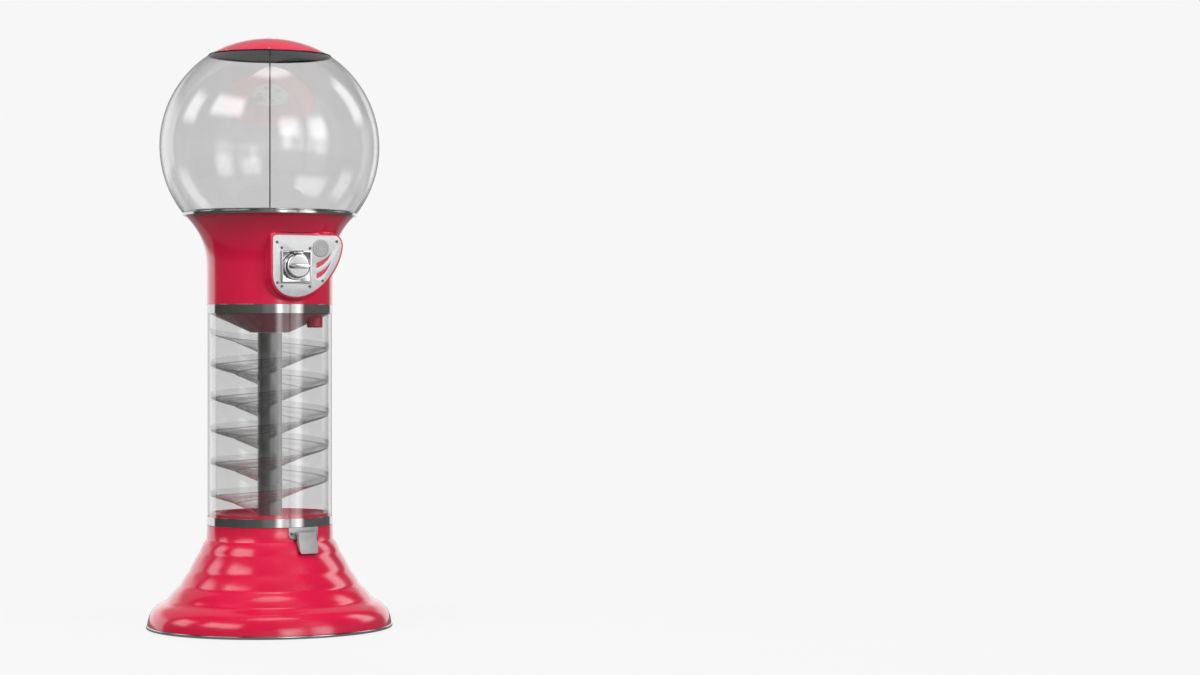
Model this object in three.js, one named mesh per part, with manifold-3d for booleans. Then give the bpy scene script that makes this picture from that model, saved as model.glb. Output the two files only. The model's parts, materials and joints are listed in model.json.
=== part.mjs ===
// A spiral gumball machine: flared base, clear tube with a spiral ramp, hopper with a coin
// mechanism, and a clear globe under a domed lid.
// Millimetres, +Z up. The origin is on the floor under the column's axis, and the coin mechanism
// faces -Y. "Outward" means the distance from the column's axis towards the front.
import * as THREE from "three";
import { mergeVertices } from "three/addons/utils/BufferGeometryUtils.js";
import Module from "manifold-3d";

const wasm = await Module();
wasm.setup();

// ---------------------------------------------------------------- driving sizes
const GAP = 0.3; // between two pieces that touch
const PLAY = 0.4; // around a screw, a pin or a shaft
const ROUND = 32; // sides of a large round piece
const ROUND_SMALL = 16; // sides of a small round piece
const degrees = Math.PI / 180;

// Column
const COLUMN_R = 152.5; // painted neck and hopper
const SHELL_WALL = 3;
const SEAT_WIDTH = 14.5; // inward flange that the tube's bands stand on
const TUBE_SET_BACK = 2.5; // tube behind the painted shells
const TUBE_WALL = 3;
const TUBE_LENGTH = 526.9;
const BAND_PROUD = 0.5;
const BAND_HEIGHT = 20.9;
const BAND_LIP = 3.3;
const POST_R = 30;
const POST_WALL = 2;
const ROD_R = 3;

// Base
const FOOT_R = 14;
const FOOT_HEIGHT = 4;
const FOOT_CIRCLE_INSET = 30;
const FOOT_COUNT = 4;
const TRIM_LIFT = 1.5;
const TRIM_HEIGHT = 7.5;
const TRIM_PROUD = 2.5;
const PLATE_THICKNESS = 4;
const BASE_HEIGHT = 251.3;
const BASE_NECK_HEIGHT = 34.3;
const BASE_FOOT_R = 295.5;
const BASE_WALL = 4;
// Ripples of the flare: share of the drop, share of the spread, bulge before the next one.
const RIPPLES = [
  [0, 0, 2],
  [0.148, 0.114, 1.5],
  [0.359, 0.283, 1.5],
  [0.541, 0.444, 2.7],
  [0.727, 0.676, 13],
  [1, 1, 0],
];

// Catch tray in the foot of the tube, and the way out to the door
const DECK_RIM = 25.8;
const DECK_WALL = 2.5;
const MOAT_R = COLUMN_R - 40.5; // the balls settle at this radius
const BALL_HOLE_R = 16;
const DOOR_TURN = 10.5 * degrees;
const DOOR_WIDTH = 50;
const DOOR_HEIGHT = 52;
const DOOR_TILT = 14 * degrees;
const DOOR_PIN_R = 1.5;
const DOOR_PIN_OUT = 10.5; // pin in front of the neck
const DOOR_PIN_DROP = 13.8; // pin below the neck's top
const DOOR_SHEET = 2;
const DOOR_DEPTH = 9;
const CHUTE_WIDTH = 41;
const CHUTE_WALL = 2;
const FRAME_WIDTH = 82;
const FRAME_HEIGHT = 28;
const FRAME_SHEET = 2.6;
const FRAME_CORNER = 14;

// Spiral ramp
const RAMP_SECTIONS = 5;
const RAMP_TURNS = 5.067;
const RAMP_PITCH = 79;
const RAMP_STEPS = 24; // per section
const RAMP_SHEET = 2;
const RAMP_LIP = 17;
const RAMP_CREASE_R = 0.5 * COLUMN_R + 6.75;
const RAMP_CREASE_DROP = 17;
const RAMP_DROP = 37; // from the outer crease down to the post
const RAMP_HEAD_DROP = 69.6; // top of the ramp's crease below the tube's top
const RAMP_HEAD_TURN = 158.5 * degrees; // where the ramp starts, from +X

// Funnel under the hopper
const FUNNEL_SKIRT = 19.1;
const FUNNEL_FLOOR_R = 46;
const FUNNEL_DROP = 64.1;
const FUNNEL_WALL = 2.5;
const DROP_R = COLUMN_R - 39.5; // the drop tube's foot, from the axis
const DROP_TURN = 52 * degrees;
const DROP_TUBE_R = 17;
const DROP_TUBE_WALL = 2;
const SPOUT_WALL = 2.5;
const SPOUT_LOW = 52.1; // spout's mouth below the tube's top
const SPOUT_HIGH = 22;

// Hopper
const HOPPER_STRAIGHT = 91;
const HOPPER_FLARE_R = 173;
const HOPPER_TOP_R = COLUMN_R + 54.5;
const HOPPER_FLOOR_SHEET = 2;
const TRAY_WALL = 2.5;

// Product wheel, driven by the coin mechanism through a crown of teeth under its rim
const WHEEL_POCKETS = 6;
const POCKET_R = 15;
const POCKET_CIRCLE = 56;
const CROWN_TEETH = 48;
const CROWN_R = 84;
const CROWN_WIDTH = 12;
const PINION_TEETH = 8;
const PINION_R = (CROWN_R * PINION_TEETH) / CROWN_TEETH;
const PINION_WIDTH = 8;
const TOOTH_OUT = 3;
const TOOTH_IN = 4.4;
const WHEEL_RIM_THICKNESS = 17.6;
const WHEEL_HUB_RISE = 6;
const WHEEL_SIDE_PLAY = 2;
const BUSH_R = 8;

// Coin mechanism
const COIN_RISE = 90; // its shaft above the hopper's foot
const FACE_OUT = 13.5; // boss face in front of the column
const PANEL_SHEET = 1.6;
const BOSS_MARGIN = 5;
const BEZEL_HALF = 38;
const BEZEL_DROP = 1.5;
const BEZEL_DEPTH = 5.8;
const BEZEL_BORDER = 3;
const BEZEL_FLOOR = 2.8;
const DIAL_R = 33;
const DIAL_FRONT_R = 28.5;
const DIAL_DEPTH = 15;
const DIAL_FLANGE = 3.7;
const GRIP_LENGTH = 50;
const GRIP_THICKNESS = 12;
const GRIP_DEPTH = 18;
const SHAFT_R = 6;
const HOUSING_HALF = 36;
const HOUSING_WALL = 2.5;
const HOUSING_DEPTH = 45;
const RATCHET_TEETH = 12;
const RATCHET_R = 22;
const RATCHET_WIDTH = 5;
const PAWL_PIN_R = 1.5;
const SCREW_R = 1.7;
const SCREW_HEAD_R = 3.2;
const SCREW_HEAD = 1.8;
const SCREW_LENGTH = 6;
const BADGE_R = 21;

// Globe and lid
const GLOBE_R = 266;
const GLOBE_WALL = 3;
const GLOBE_FOOT_R = 210.8;
const GLOBE_MOUTH_R = 150.5;
const RING_SECTION = 3;
const RING_SKIRT = 2.6;
const RING_UPSTAND = 4.6;
const GASKET = 1.4;
const LID_RISE = 41.9;
const LID_WALL = 2.5;
const LID_STEP = 2.5; // lid edge inside the globe's mouth
const LINER_SHEET = 1.5;
const LOCK_R = 11;
const PLUG_R = 7;

// ---------------------------------------------------------------- heights and radii that follow
const tubeR = COLUMN_R - TUBE_SET_BACK;
const tubeBore = tubeR - TUBE_WALL;
const seatR = COLUMN_R - SEAT_WIDTH;
const bandR = COLUMN_R + BAND_PROUD;
const trimTop = TRIM_LIFT + TRIM_HEIGHT;
const trimR = BASE_FOOT_R + TRIM_PROUD;
const lowerBandFoot = BASE_HEIGHT + GAP;
const tubeFoot = lowerBandFoot + BAND_LIP + GAP;
const tubeTop = tubeFoot + TUBE_LENGTH;
const upperBandTop = tubeTop + GAP + BAND_LIP;
const hopperFoot = upperBandTop + GAP;
const flareFoot = hopperFoot + HOPPER_STRAIGHT;
const flareCentreR = COLUMN_R + HOPPER_FLARE_R;
const flareTop = flareFoot + Math.sqrt(HOPPER_FLARE_R ** 2 - (flareCentreR - HOPPER_TOP_R) ** 2);
const funnelFloor = tubeTop - FUNNEL_DROP;
const coinZ = hopperFoot + COIN_RISE;
const faceR = COLUMN_R + FACE_OUT;
const panelBack = faceR + GAP;
const panelFront = panelBack + PANEL_SHEET;
const bezelBack = panelFront + GAP;
const crownPitchZ = coinZ + PINION_R;
const crownTipZ = crownPitchZ - TOOTH_OUT;
const crownRootZ = crownPitchZ + TOOTH_IN;
const wheelTop = crownRootZ + WHEEL_RIM_THICKNESS;
const wheelR = CROWN_R + CROWN_WIDTH;
const trayFloorTop = crownTipZ - 1;
const trayWellR = wheelR + WHEEL_SIDE_PLAY;
const trayWellTop = wheelTop + 10;
const trayRimZ = flareTop + GAP;
const ringFoot = trayRimZ + TRAY_WALL - 0.7 + GAP;
const ringTop = ringFoot + RING_SECTION;
const globeFoot = ringTop + GAP;
const globeZ = globeFoot + Math.sqrt(GLOBE_R ** 2 - GLOBE_FOOT_R ** 2);
const globeTop = globeZ + Math.sqrt(GLOBE_R ** 2 - GLOBE_MOUTH_R ** 2);
const gasketTop = globeTop + GAP + GASKET;
const linerFoot = gasketTop + GAP;
const lidFoot = linerFoot + LINER_SHEET + GAP;
const lidR = GLOBE_MOUTH_R - LID_STEP;
const lidTop = lidFoot + LID_RISE;
const lidSphereR = (lidR ** 2 + LID_RISE ** 2) / (2 * LID_RISE);
const doorPinZ = BASE_HEIGHT - DOOR_PIN_DROP;
const doorPinOut = COLUMN_R + DOOR_PIN_OUT;

// ---------------------------------------------------------------- materials
const material = (color, roughness, metalness, opacity = 1) =>
  new THREE.MeshStandardMaterial({
    color,
    roughness,
    metalness,
    opacity,
    transparent: opacity < 1,
  });
const redPaint = material(0xd01f45, 0.25, 0);
const chrome = material(0xc9ccca, 0.08, 1);
const steel = material(0x9a9a9a, 0.3, 1);
const aluminium = material(0xcfd0d2, 0.4, 0.8);
const clearPlastic = material(0xe6e8e8, 0.05, 0, 0.3);
const blackRubber = material(0x1c1c1c, 0.8, 0);
const castIron = material(0x3a3a3c, 0.7, 0.6);
const zincPlate = material(0xa8abae, 0.35, 0.9);
const brass = material(0xb8923f, 0.3, 1);
const blackPlastic = material(0x26262a, 0.5, 0);
const whitePlastic = material(0xd8d6cf, 0.5, 0);

// ---------------------------------------------------------------- shapes
const point = ([x, y]) => new THREE.Vector2(x, y);

function toSolid(geometry) {
  const bare = geometry.clone();
  bare.deleteAttribute("normal");
  bare.deleteAttribute("uv");
  const merged = mergeVertices(bare, 1e-4);
  const corners = merged.index.array;
  const triVerts = [];
  for (let i = 0; i < corners.length; i += 3) {
    const [a, b, c] = corners.slice(i, i + 3);
    if (a !== b && b !== c && c !== a) triVerts.push(a, b, c);
  }
  return new wasm.Manifold(
    new wasm.Mesh({
      numProp: 3,
      vertProperties: merged.attributes.position.array,
      triVerts: new Uint32Array(triVerts),
    }),
  );
}

function toGeometry(body) {
  const mesh = body.getMesh();
  const geometry = new THREE.BufferGeometry();
  geometry.setAttribute("position", new THREE.BufferAttribute(mesh.vertProperties, 3));
  geometry.setIndex(new THREE.BufferAttribute(mesh.triVerts, 1));
  return geometry;
}

const join = (...parts) => toGeometry(parts.map(toSolid).reduce((a, b) => a.add(b)));
const common = (a, b) => toGeometry(toSolid(a).intersect(toSolid(b)));
const cut = (body, ...tools) =>
  toGeometry(tools.map(toSolid).reduce((a, b) => a.subtract(b), toSolid(body)));

// A closed profile of [radius, height] points, turned about +Z.
function turned(profile, sides = ROUND) {
  const points = profile.map(point);
  if (THREE.ShapeUtils.area(points) < 0) points.reverse();
  const touchesAxis = profile.some(([r]) => r === 0);
  if (touchesAxis) {
    while (points[0].x !== 0 || points[points.length - 1].x !== 0) points.push(points.shift());
  } else {
    points.push(points[0].clone());
  }
  return new THREE.LatheGeometry(points, sides).rotateX(Math.PI / 2);
}

const disc = (r, low, high, sides = ROUND) =>
  turned([[0, low], [r, low], [r, high], [0, high]], sides);

const hoop = (inner, outer, low, high, sides = ROUND) =>
  turned([[inner, low], [outer, low], [outer, high], [inner, high]], sides);

const shapeOf = (points) => new THREE.Shape(points.map(point));

const slab = (shape, depth) =>
  new THREE.ExtrudeGeometry(shape, { depth, bevelEnabled: false, curveSegments: 8 });

// A shape drawn in x and z, standing between two distances outward.
const facing = (shape, from, to) =>
  slab(shape, to - from).rotateX(Math.PI / 2).translate(0, -from, 0);

// A shape drawn in outward distance and z, centred on x.
const sideways = (shape, width) =>
  slab(shape, width).rotateX(Math.PI / 2).rotateZ(-Math.PI / 2).translate(width / 2, 0, 0);

const block = (x0, x1, out0, out1, z0, z1) =>
  new THREE.BoxGeometry(x1 - x0, out1 - out0, z1 - z0)
    .translate((x0 + x1) / 2, -(out0 + out1) / 2, (z0 + z1) / 2);

// A round bar pointing outward, at x and z.
const bar = (r, x, z, from, to, sides = ROUND_SMALL) =>
  new THREE.CylinderGeometry(r, r, to - from, sides).translate(x, -(from + to) / 2, z);

const upright = (r, x, out, low, high, sides = ROUND_SMALL) =>
  disc(r, low, high, sides).translate(x, -out, 0);

// Points from p to q, bulging to the right of the way by the given height.
function bulging(p, q, bulge, count) {
  const along = [q[0] - p[0], q[1] - p[1]];
  const length = Math.hypot(...along);
  const points = [];
  for (let i = 0; i < count; i++) {
    const t = i / count;
    const rise = (4 * bulge * t * (1 - t)) / length;
    points.push([p[0] + along[0] * t - along[1] * rise, p[1] + along[1] * t + along[0] * rise]);
  }
  return points;
}

// Points of a circle's arc in [radius, height], about a centre, by its heights.
function arcByHeight(centreR, centreZ, r, side, from, to, count) {
  const points = [];
  for (let i = 0; i <= count; i++) {
    const z = from + ((to - from) * i) / count;
    points.push([centreR + side * Math.sqrt(r ** 2 - (z - centreZ) ** 2), z]);
  }
  return points;
}

// A closed outline moved outward by a distance.
function widened(points, distance) {
  const count = points.length;
  return points.map(([x, y], i) => {
    const [ax, ay] = points[(i + count - 1) % count];
    const [bx, by] = points[(i + 1) % count];
    const length = Math.hypot(bx - ax, by - ay);
    return [x - ((by - ay) / length) * distance, y + ((bx - ax) / length) * distance];
  });
}

// ---------------------------------------------------------------- the assembly
const machine = new THREE.Group();
machine.name = "gumball_machine";

function piece(name, geometry, look, parent = machine) {
  const mesh = new THREE.Mesh(geometry, look);
  mesh.name = name;
  parent.add(mesh);
  return mesh;
}

// A pan-head screw pointing outward, its head's back at the given distance.
const screw = (x, z, seat) =>
  join(
    bar(SCREW_R, x, z, seat - SCREW_LENGTH, seat + SCREW_HEAD / 2, 8),
    new THREE.CylinderGeometry(SCREW_HEAD_R * 0.98, SCREW_HEAD_R * 0.75, SCREW_HEAD, 12)
      .translate(x, -seat - SCREW_HEAD / 2, z),
  );

const screwHole = (x, z, from, to) => bar(SCREW_R + PLAY, x, z, from, to, 8);

// ---------------------------------------------------------------- base
function flare(inset) {
  const neckZ = BASE_HEIGHT - BASE_NECK_HEIGHT;
  const drop = neckZ - trimTop - GAP;
  const spread = BASE_FOOT_R - COLUMN_R - 1;
  const corners = RIPPLES.map(([down, out]) => [
    COLUMN_R + 1 + out * spread - inset,
    neckZ - down * drop,
  ]);
  const points = [];
  for (let i = 0; i + 1 < corners.length; i++) {
    points.push(...bulging(corners[i], corners[i + 1], RIPPLES[i][2], i === 4 ? 4 : 2));
  }
  points.push(corners[corners.length - 1]);
  return points;
}

function addBase() {
  const doorway = block(
    -CHUTE_WIDTH / 2 - 1.5,
    CHUTE_WIDTH / 2 + 1.5,
    COLUMN_R * 0.6,
    COLUMN_R + 40,
    BASE_HEIGHT - 62,
    BASE_HEIGHT - 15,
  ).rotateZ(DOOR_TURN);
  const shell = turned([
    [seatR, BASE_HEIGHT],
    [COLUMN_R, BASE_HEIGHT],
    ...flare(0),
    ...flare(BASE_WALL).reverse(),
    [COLUMN_R - BASE_WALL, BASE_HEIGHT - BASE_WALL],
    [seatR, BASE_HEIGHT - BASE_WALL],
  ]);
  const holes = doorScrewTurns().map((turn) =>
    screwHole(0, doorScrewZ, seatR, COLUMN_R + 10).rotateZ(turn),
  );
  piece("base_shell", cut(shell, doorway, ...holes), redPaint);

  const lipTop = TRIM_LIFT + 2.5;
  const wallR = BASE_FOOT_R - 5;
  piece(
    "base_trim_ring",
    turned([
      [wallR - 7.5, TRIM_LIFT],
      [trimR - 2, TRIM_LIFT],
      [trimR, TRIM_LIFT + 2],
      [trimR, trimTop - 2],
      [trimR - 2, trimTop],
      [wallR, trimTop],
      [wallR, lipTop],
      [wallR - 7.5, lipTop],
    ]),
    chrome,
  );

  const plateFoot = lipTop + GAP;
  piece(
    "base_plate",
    hoop(ROD_R + PLAY, wallR - 0.5, plateFoot, plateFoot + PLATE_THICKNESS),
    castIron,
  );
  for (let i = 0; i < FOOT_COUNT; i++) {
    const foot = disc(FOOT_R, 0, FOOT_HEIGHT, ROUND_SMALL).translate(
      0,
      FOOT_CIRCLE_INSET - BASE_FOOT_R,
      0,
    );
    const turn = ((i + 0.5) * 2 * Math.PI) / FOOT_COUNT;
    piece("rubber_foot_" + (i + 1), foot.rotateZ(turn), blackRubber);
  }
}

// ---------------------------------------------------------------- catch tray, chute and door
function addDeck() {
  const r = tubeBore - PLAY;
  const outline = [
    [r, 0],
    [r, DECK_RIM - 1.5],
    [r - 1.2, DECK_RIM],
    [r - 3, DECK_RIM],
    [r - 9, DECK_RIM - 6],
    [r - 18, DECK_RIM - 13],
    [MOAT_R, DECK_RIM - 16],
    [MOAT_R - 16, DECK_RIM - 13],
    [POST_R * 2, DECK_RIM - 10],
    [ROD_R + PLAY, DECK_RIM - 9],
    [ROD_R + PLAY, DECK_RIM - 9 - DECK_WALL],
    [POST_R * 2, DECK_RIM - 10 - DECK_WALL],
    [MOAT_R - 16, DECK_RIM - 13 - DECK_WALL],
    [MOAT_R, DECK_RIM - 16 - DECK_WALL],
    [r - 18, DECK_RIM - 13 - DECK_WALL],
    [r - 10, DECK_RIM - 6 - DECK_WALL],
    [r - DECK_WALL, DECK_RIM - 5],
    [r - DECK_WALL, 0],
  ];
  const pan = turned(outline).translate(0, 0, tubeFoot);
  const hole = upright(BALL_HOLE_R, 0, MOAT_R, tubeFoot - 5, tubeFoot + DECK_RIM + 5);
  piece("base_deck", cut(pan, hole.rotateZ(DOOR_TURN)), redPaint);
}

const doorScrewZ = BASE_HEIGHT - 14;
const frameFaceR = COLUMN_R + 1.3 + FRAME_SHEET;

function doorScrewTurns() {
  const swing = Math.asin((FRAME_WIDTH / 2 - 6) / frameFaceR);
  return [DOOR_TURN - swing, DOOR_TURN + swing];
}

function addChute() {
  const top = tubeFoot + DECK_RIM - 16 - DECK_WALL - 2;
  const back = MOAT_R - BALL_HOLE_R - 6;
  const mouth = COLUMN_R + 19.5;
  const mouthZ = BASE_HEIGHT - 57;
  const rise = (mouth - back) * 0.5;
  const outline = shapeOf([
    [back, mouthZ + rise],
    [mouth, mouthZ],
    [mouth - 5, BASE_HEIGHT - 22],
    [COLUMN_R - 4, BASE_HEIGHT - 19],
    [seatR - 14, top],
    [back, top],
  ]);
  const hollow = shapeOf([
    [back + CHUTE_WALL, mouthZ + rise + CHUTE_WALL],
    [mouth + 10, mouthZ + CHUTE_WALL - 4],
    [mouth + 10, top + 10],
    [back + CHUTE_WALL, top + 10],
  ]);
  const chute = cut(
    sideways(outline, CHUTE_WIDTH),
    sideways(hollow, CHUTE_WIDTH - 2 * CHUTE_WALL),
  );
  piece("prize_chute", chute.rotateZ(DOOR_TURN), aluminium);
}

function addDoor() {
  const half = FRAME_WIDTH / 2;
  const low = BASE_HEIGHT - FRAME_HEIGHT;
  const outline = new THREE.Shape();
  outline.moveTo(-half, BASE_HEIGHT);
  outline.lineTo(-half, low + FRAME_CORNER);
  outline.quadraticCurveTo(-half, low, -half + FRAME_CORNER, low);
  outline.lineTo(half - FRAME_CORNER, low);
  outline.quadraticCurveTo(half, low, half, low + FRAME_CORNER);
  outline.lineTo(half, BASE_HEIGHT);
  const sheet = common(
    hoop(frameFaceR - FRAME_SHEET, frameFaceR, low - 1, BASE_HEIGHT, ROUND * 2),
    facing(outline, COLUMN_R * 0.7, COLUMN_R * 1.2),
  );
  const opening = CHUTE_WIDTH / 2 + 1.5;
  const earIn = DOOR_WIDTH / 2 + 1;
  const ear = (side) =>
    block(
      Math.min(side * earIn, side * (earIn + 3)),
      Math.max(side * earIn, side * (earIn + 3)),
      frameFaceR - 4.5,
      doorPinOut + 3.5,
      doorPinZ - 4,
      doorPinZ + 4,
    );
  const pinRun = (r, length) =>
    new THREE.CylinderGeometry(r, r, length, 12)
      .rotateZ(Math.PI / 2)
      .translate(0, -doorPinOut, doorPinZ);
  const holes = doorScrewTurns().map((turn) =>
    screwHole(0, doorScrewZ, seatR, COLUMN_R + 10).rotateZ(turn - DOOR_TURN),
  );
  const frame = cut(
    join(sheet, ear(-1), ear(1)),
    block(-opening, opening, COLUMN_R * 0.8, COLUMN_R + 30, low - 5, BASE_HEIGHT - 15),
    pinRun(DOOR_PIN_R + GAP, DOOR_WIDTH + 20),
    ...holes,
  );
  piece("door_frame", frame.rotateZ(DOOR_TURN), aluminium);
  piece("door_pin", pinRun(DOOR_PIN_R, DOOR_WIDTH + 10).rotateZ(DOOR_TURN), steel);
  doorScrewTurns().forEach((turn, i) => {
    piece("door_screw_" + (i + 1), screw(0, doorScrewZ, frameFaceR + GAP).rotateZ(turn), steel);
  });

  // The flap in its own frame: x across, y forward from the pin, z down from the pin.
  const front = DOOR_PIN_R + 2.5;
  const w = DOOR_WIDTH / 2;
  const top = 2;
  const sheetShape = new THREE.Shape();
  sheetShape.moveTo(-w, top);
  sheetShape.lineTo(-w, top - DOOR_HEIGHT + 4);
  sheetShape.quadraticCurveTo(-w, top - DOOR_HEIGHT, 4 - w, top - DOOR_HEIGHT);
  sheetShape.lineTo(w - 4, top - DOOR_HEIGHT);
  sheetShape.quadraticCurveTo(w, top - DOOR_HEIGHT, w, top - DOOR_HEIGHT + 4);
  sheetShape.lineTo(w, top);
  const flangeShape = shapeOf([
    [front - DOOR_DEPTH, top - 3],
    [front - DOOR_DEPTH + 3, top],
    [front - 0.5, top],
    [front - 0.5, top - DOOR_HEIGHT + 4],
    [front - DOOR_DEPTH + 3, top - DOOR_HEIGHT + 6],
    [front - DOOR_DEPTH, top - DOOR_HEIGHT + 20],
  ]);
  const flange = (side) =>
    sideways(flangeShape, DOOR_SHEET).translate(side * (w - DOOR_SHEET / 2), 0, 0);
  const bore = new THREE.CylinderGeometry(
    DOOR_PIN_R + GAP,
    DOOR_PIN_R + GAP,
    DOOR_WIDTH + 4,
    12,
  ).rotateZ(Math.PI / 2);
  const flap = cut(
    join(facing(sheetShape, front - DOOR_SHEET, front), flange(-1), flange(1)),
    bore,
  );
  flap.rotateX(-DOOR_TILT).translate(0, -doorPinOut, doorPinZ);
  piece("door_flap", flap.rotateZ(DOOR_TURN), aluminium);
}

// ---------------------------------------------------------------- tube, bands, post and ramp
function addColumn() {
  const bandBore = tubeR + PLAY;
  piece(
    "lower_band",
    turned([
      [bandR, lowerBandFoot],
      [bandR, lowerBandFoot + BAND_HEIGHT],
      [bandBore, lowerBandFoot + BAND_HEIGHT],
      [bandBore, lowerBandFoot + BAND_LIP],
      [seatR, lowerBandFoot + BAND_LIP],
      [seatR, lowerBandFoot],
    ]),
    chrome,
  );
  piece("clear_tube", hoop(tubeBore, tubeR, tubeFoot, tubeTop), clearPlastic);
  piece(
    "upper_band",
    turned([
      [bandR, upperBandTop],
      [bandR, upperBandTop - BAND_HEIGHT - 1],
      [bandBore, upperBandTop - BAND_HEIGHT - 1],
      [bandBore, upperBandTop - BAND_LIP],
      [seatR, upperBandTop - BAND_LIP],
      [seatR, upperBandTop],
    ]),
    chrome,
  );
  const postFoot = tubeFoot + DECK_RIM - 9 + GAP;
  const postBore = POST_R - POST_WALL;
  piece("center_post", hoop(postBore, POST_R, postFoot, funnelFloor - GAP, 32), steel);
}

// One section of the ramp: its cross-section in [radius, height], swept down round the post.
function rampSection(index) {
  const inner = POST_R + 1.2;
  const outer = tubeBore - 2.3;
  const turn = (RAMP_TURNS * 2 * Math.PI) / RAMP_SECTIONS;
  const joint = GAP / outer;
  const section = shapeOf([
    [outer, RAMP_LIP],
    [outer - RAMP_SHEET, RAMP_LIP],
    [outer - RAMP_SHEET, RAMP_SHEET],
    [RAMP_CREASE_R, RAMP_SHEET - RAMP_CREASE_DROP],
    [inner, RAMP_SHEET - RAMP_DROP],
    [inner, -RAMP_DROP],
    [RAMP_CREASE_R, -RAMP_CREASE_DROP],
    [outer, 0],
  ]);
  const ramp = new THREE.ExtrudeGeometry(section, {
    depth: turn - joint,
    steps: RAMP_STEPS,
    bevelEnabled: false,
  });
  const place = ramp.attributes.position;
  for (let i = 0; i < place.count; i++) {
    const angle = place.getZ(i) + index * turn + joint / 2;
    const r = place.getX(i);
    const z = tubeTop - RAMP_HEAD_DROP + place.getY(i) - (RAMP_PITCH * angle) / (2 * Math.PI);
    const heading = RAMP_HEAD_TURN - angle;
    place.setXYZ(i, r * Math.cos(heading), r * Math.sin(heading), z);
  }
  return ramp;
}

function addRamp() {
  for (let i = 0; i < RAMP_SECTIONS; i++) {
    piece("spiral_ramp_" + (i + 1), rampSection(i), clearPlastic);
  }
}

// ---------------------------------------------------------------- funnel and drop tube
function addDrop() {
  const skirtR = tubeBore - PLAY;
  const cone = turned([
    [skirtR, tubeTop],
    [skirtR, tubeTop - FUNNEL_SKIRT],
    [FUNNEL_FLOOR_R, funnelFloor],
    [ROD_R + PLAY, funnelFloor],
    [ROD_R + PLAY, funnelFloor + FUNNEL_WALL],
    [FUNNEL_FLOOR_R, funnelFloor + FUNNEL_WALL],
    [skirtR - FUNNEL_WALL, tubeTop - FUNNEL_SKIRT + 1.5],
    [skirtR - FUNNEL_WALL, tubeTop],
  ]);
  const bore = DROP_TUBE_R - DROP_TUBE_WALL;
  const spoutR = DROP_TUBE_R + SPOUT_WALL;
  const spoutTop = tubeTop - SPOUT_HIGH;
  const spout = upright(spoutR, 0, DROP_R, tubeTop - SPOUT_LOW, spoutTop, 24);
  const spoutBore = upright(bore, 0, DROP_R, tubeTop - 70, tubeTop, 24);
  const funnel = cut(join(cone, spout.rotateZ(DROP_TURN)), spoutBore.rotateZ(DROP_TURN));
  piece("drop_funnel", funnel, redPaint);

  const head = trayFloorTop - TRAY_WALL - 1;
  const foot = spoutTop + GAP;
  const path = new THREE.CubicBezierCurve3(
    new THREE.Vector3(0, -POCKET_CIRCLE, head),
    new THREE.Vector3(0, -POCKET_CIRCLE, head - 35),
    new THREE.Vector3(0, -DROP_R, foot + 40),
    new THREE.Vector3(0, -DROP_R, foot),
  );
  const section = new THREE.Shape().absarc(0, 0, DROP_TUBE_R, 0, 2 * Math.PI);
  section.holes.push(new THREE.Path().absarc(0, 0, bore, 0, 2 * Math.PI));
  const tube = new THREE.ExtrudeGeometry(section, {
    extrudePath: path,
    steps: 8,
    curveSegments: 8,
    bevelEnabled: false,
  });
  piece("drop_tube", tube.rotateZ(DROP_TURN), whitePlastic);

  const floorFoot = hopperFoot + SHELL_WALL + GAP;
  const floorTop = floorFoot + HOPPER_FLOOR_SHEET;
  const floor = cut(
    hoop(ROD_R + PLAY, COLUMN_R - SHELL_WALL - 1, floorFoot, floorTop),
    upright(DROP_TUBE_R + 8, 0, DROP_R - 5, floorFoot - 5, floorTop + 5).rotateZ(DROP_TURN),
  );
  piece("hopper_floor", floor, zincPlate);
  const boxTop = coinZ - HOUSING_HALF - 7;
  const box = cut(
    block(-34, 34, COLUMN_R * 0.4, COLUMN_R - 20.5, floorTop + GAP, boxTop),
    block(-32.5, 32.5, COLUMN_R * 0.4 + 1.5, COLUMN_R - 22, floorTop + GAP + 1.5, boxTop + 5),
  );
  piece("cash_box", box, zincPlate);
}

// ---------------------------------------------------------------- hopper
// The face panel's outline in x and z.
function panelOutline() {
  const left = -58.5;
  const right = 118;
  const top = coinZ + 74;
  const bottom = coinZ - 73;
  const outline = new THREE.Shape();
  outline.moveTo(left, coinZ - 16);
  outline.lineTo(left, top - 12);
  outline.quadraticCurveTo(left, top, left + 12, top);
  outline.lineTo(right - 20, top);
  outline.bezierCurveTo(right - 8, top, right, top - 10, right, top - 25);
  outline.bezierCurveTo(right - 6, coinZ - 6, 60, bottom + 3, 1.6, bottom);
  outline.bezierCurveTo(-32, bottom, left, bottom + 17, left, coinZ - 16);
  return outline.getPoints(6).slice(0, -1).map(({ x, y }) => [x, y]);
}

const panelScrews = [
  [-47.8, 57],
  [105.6, 60.7],
  [-47, -39.5],
  [68.5, -34],
];
const housingScrews = [
  [-36, 43.5],
  [36, 43.5],
  [-36, -48],
  [36, -48],
];

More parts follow.
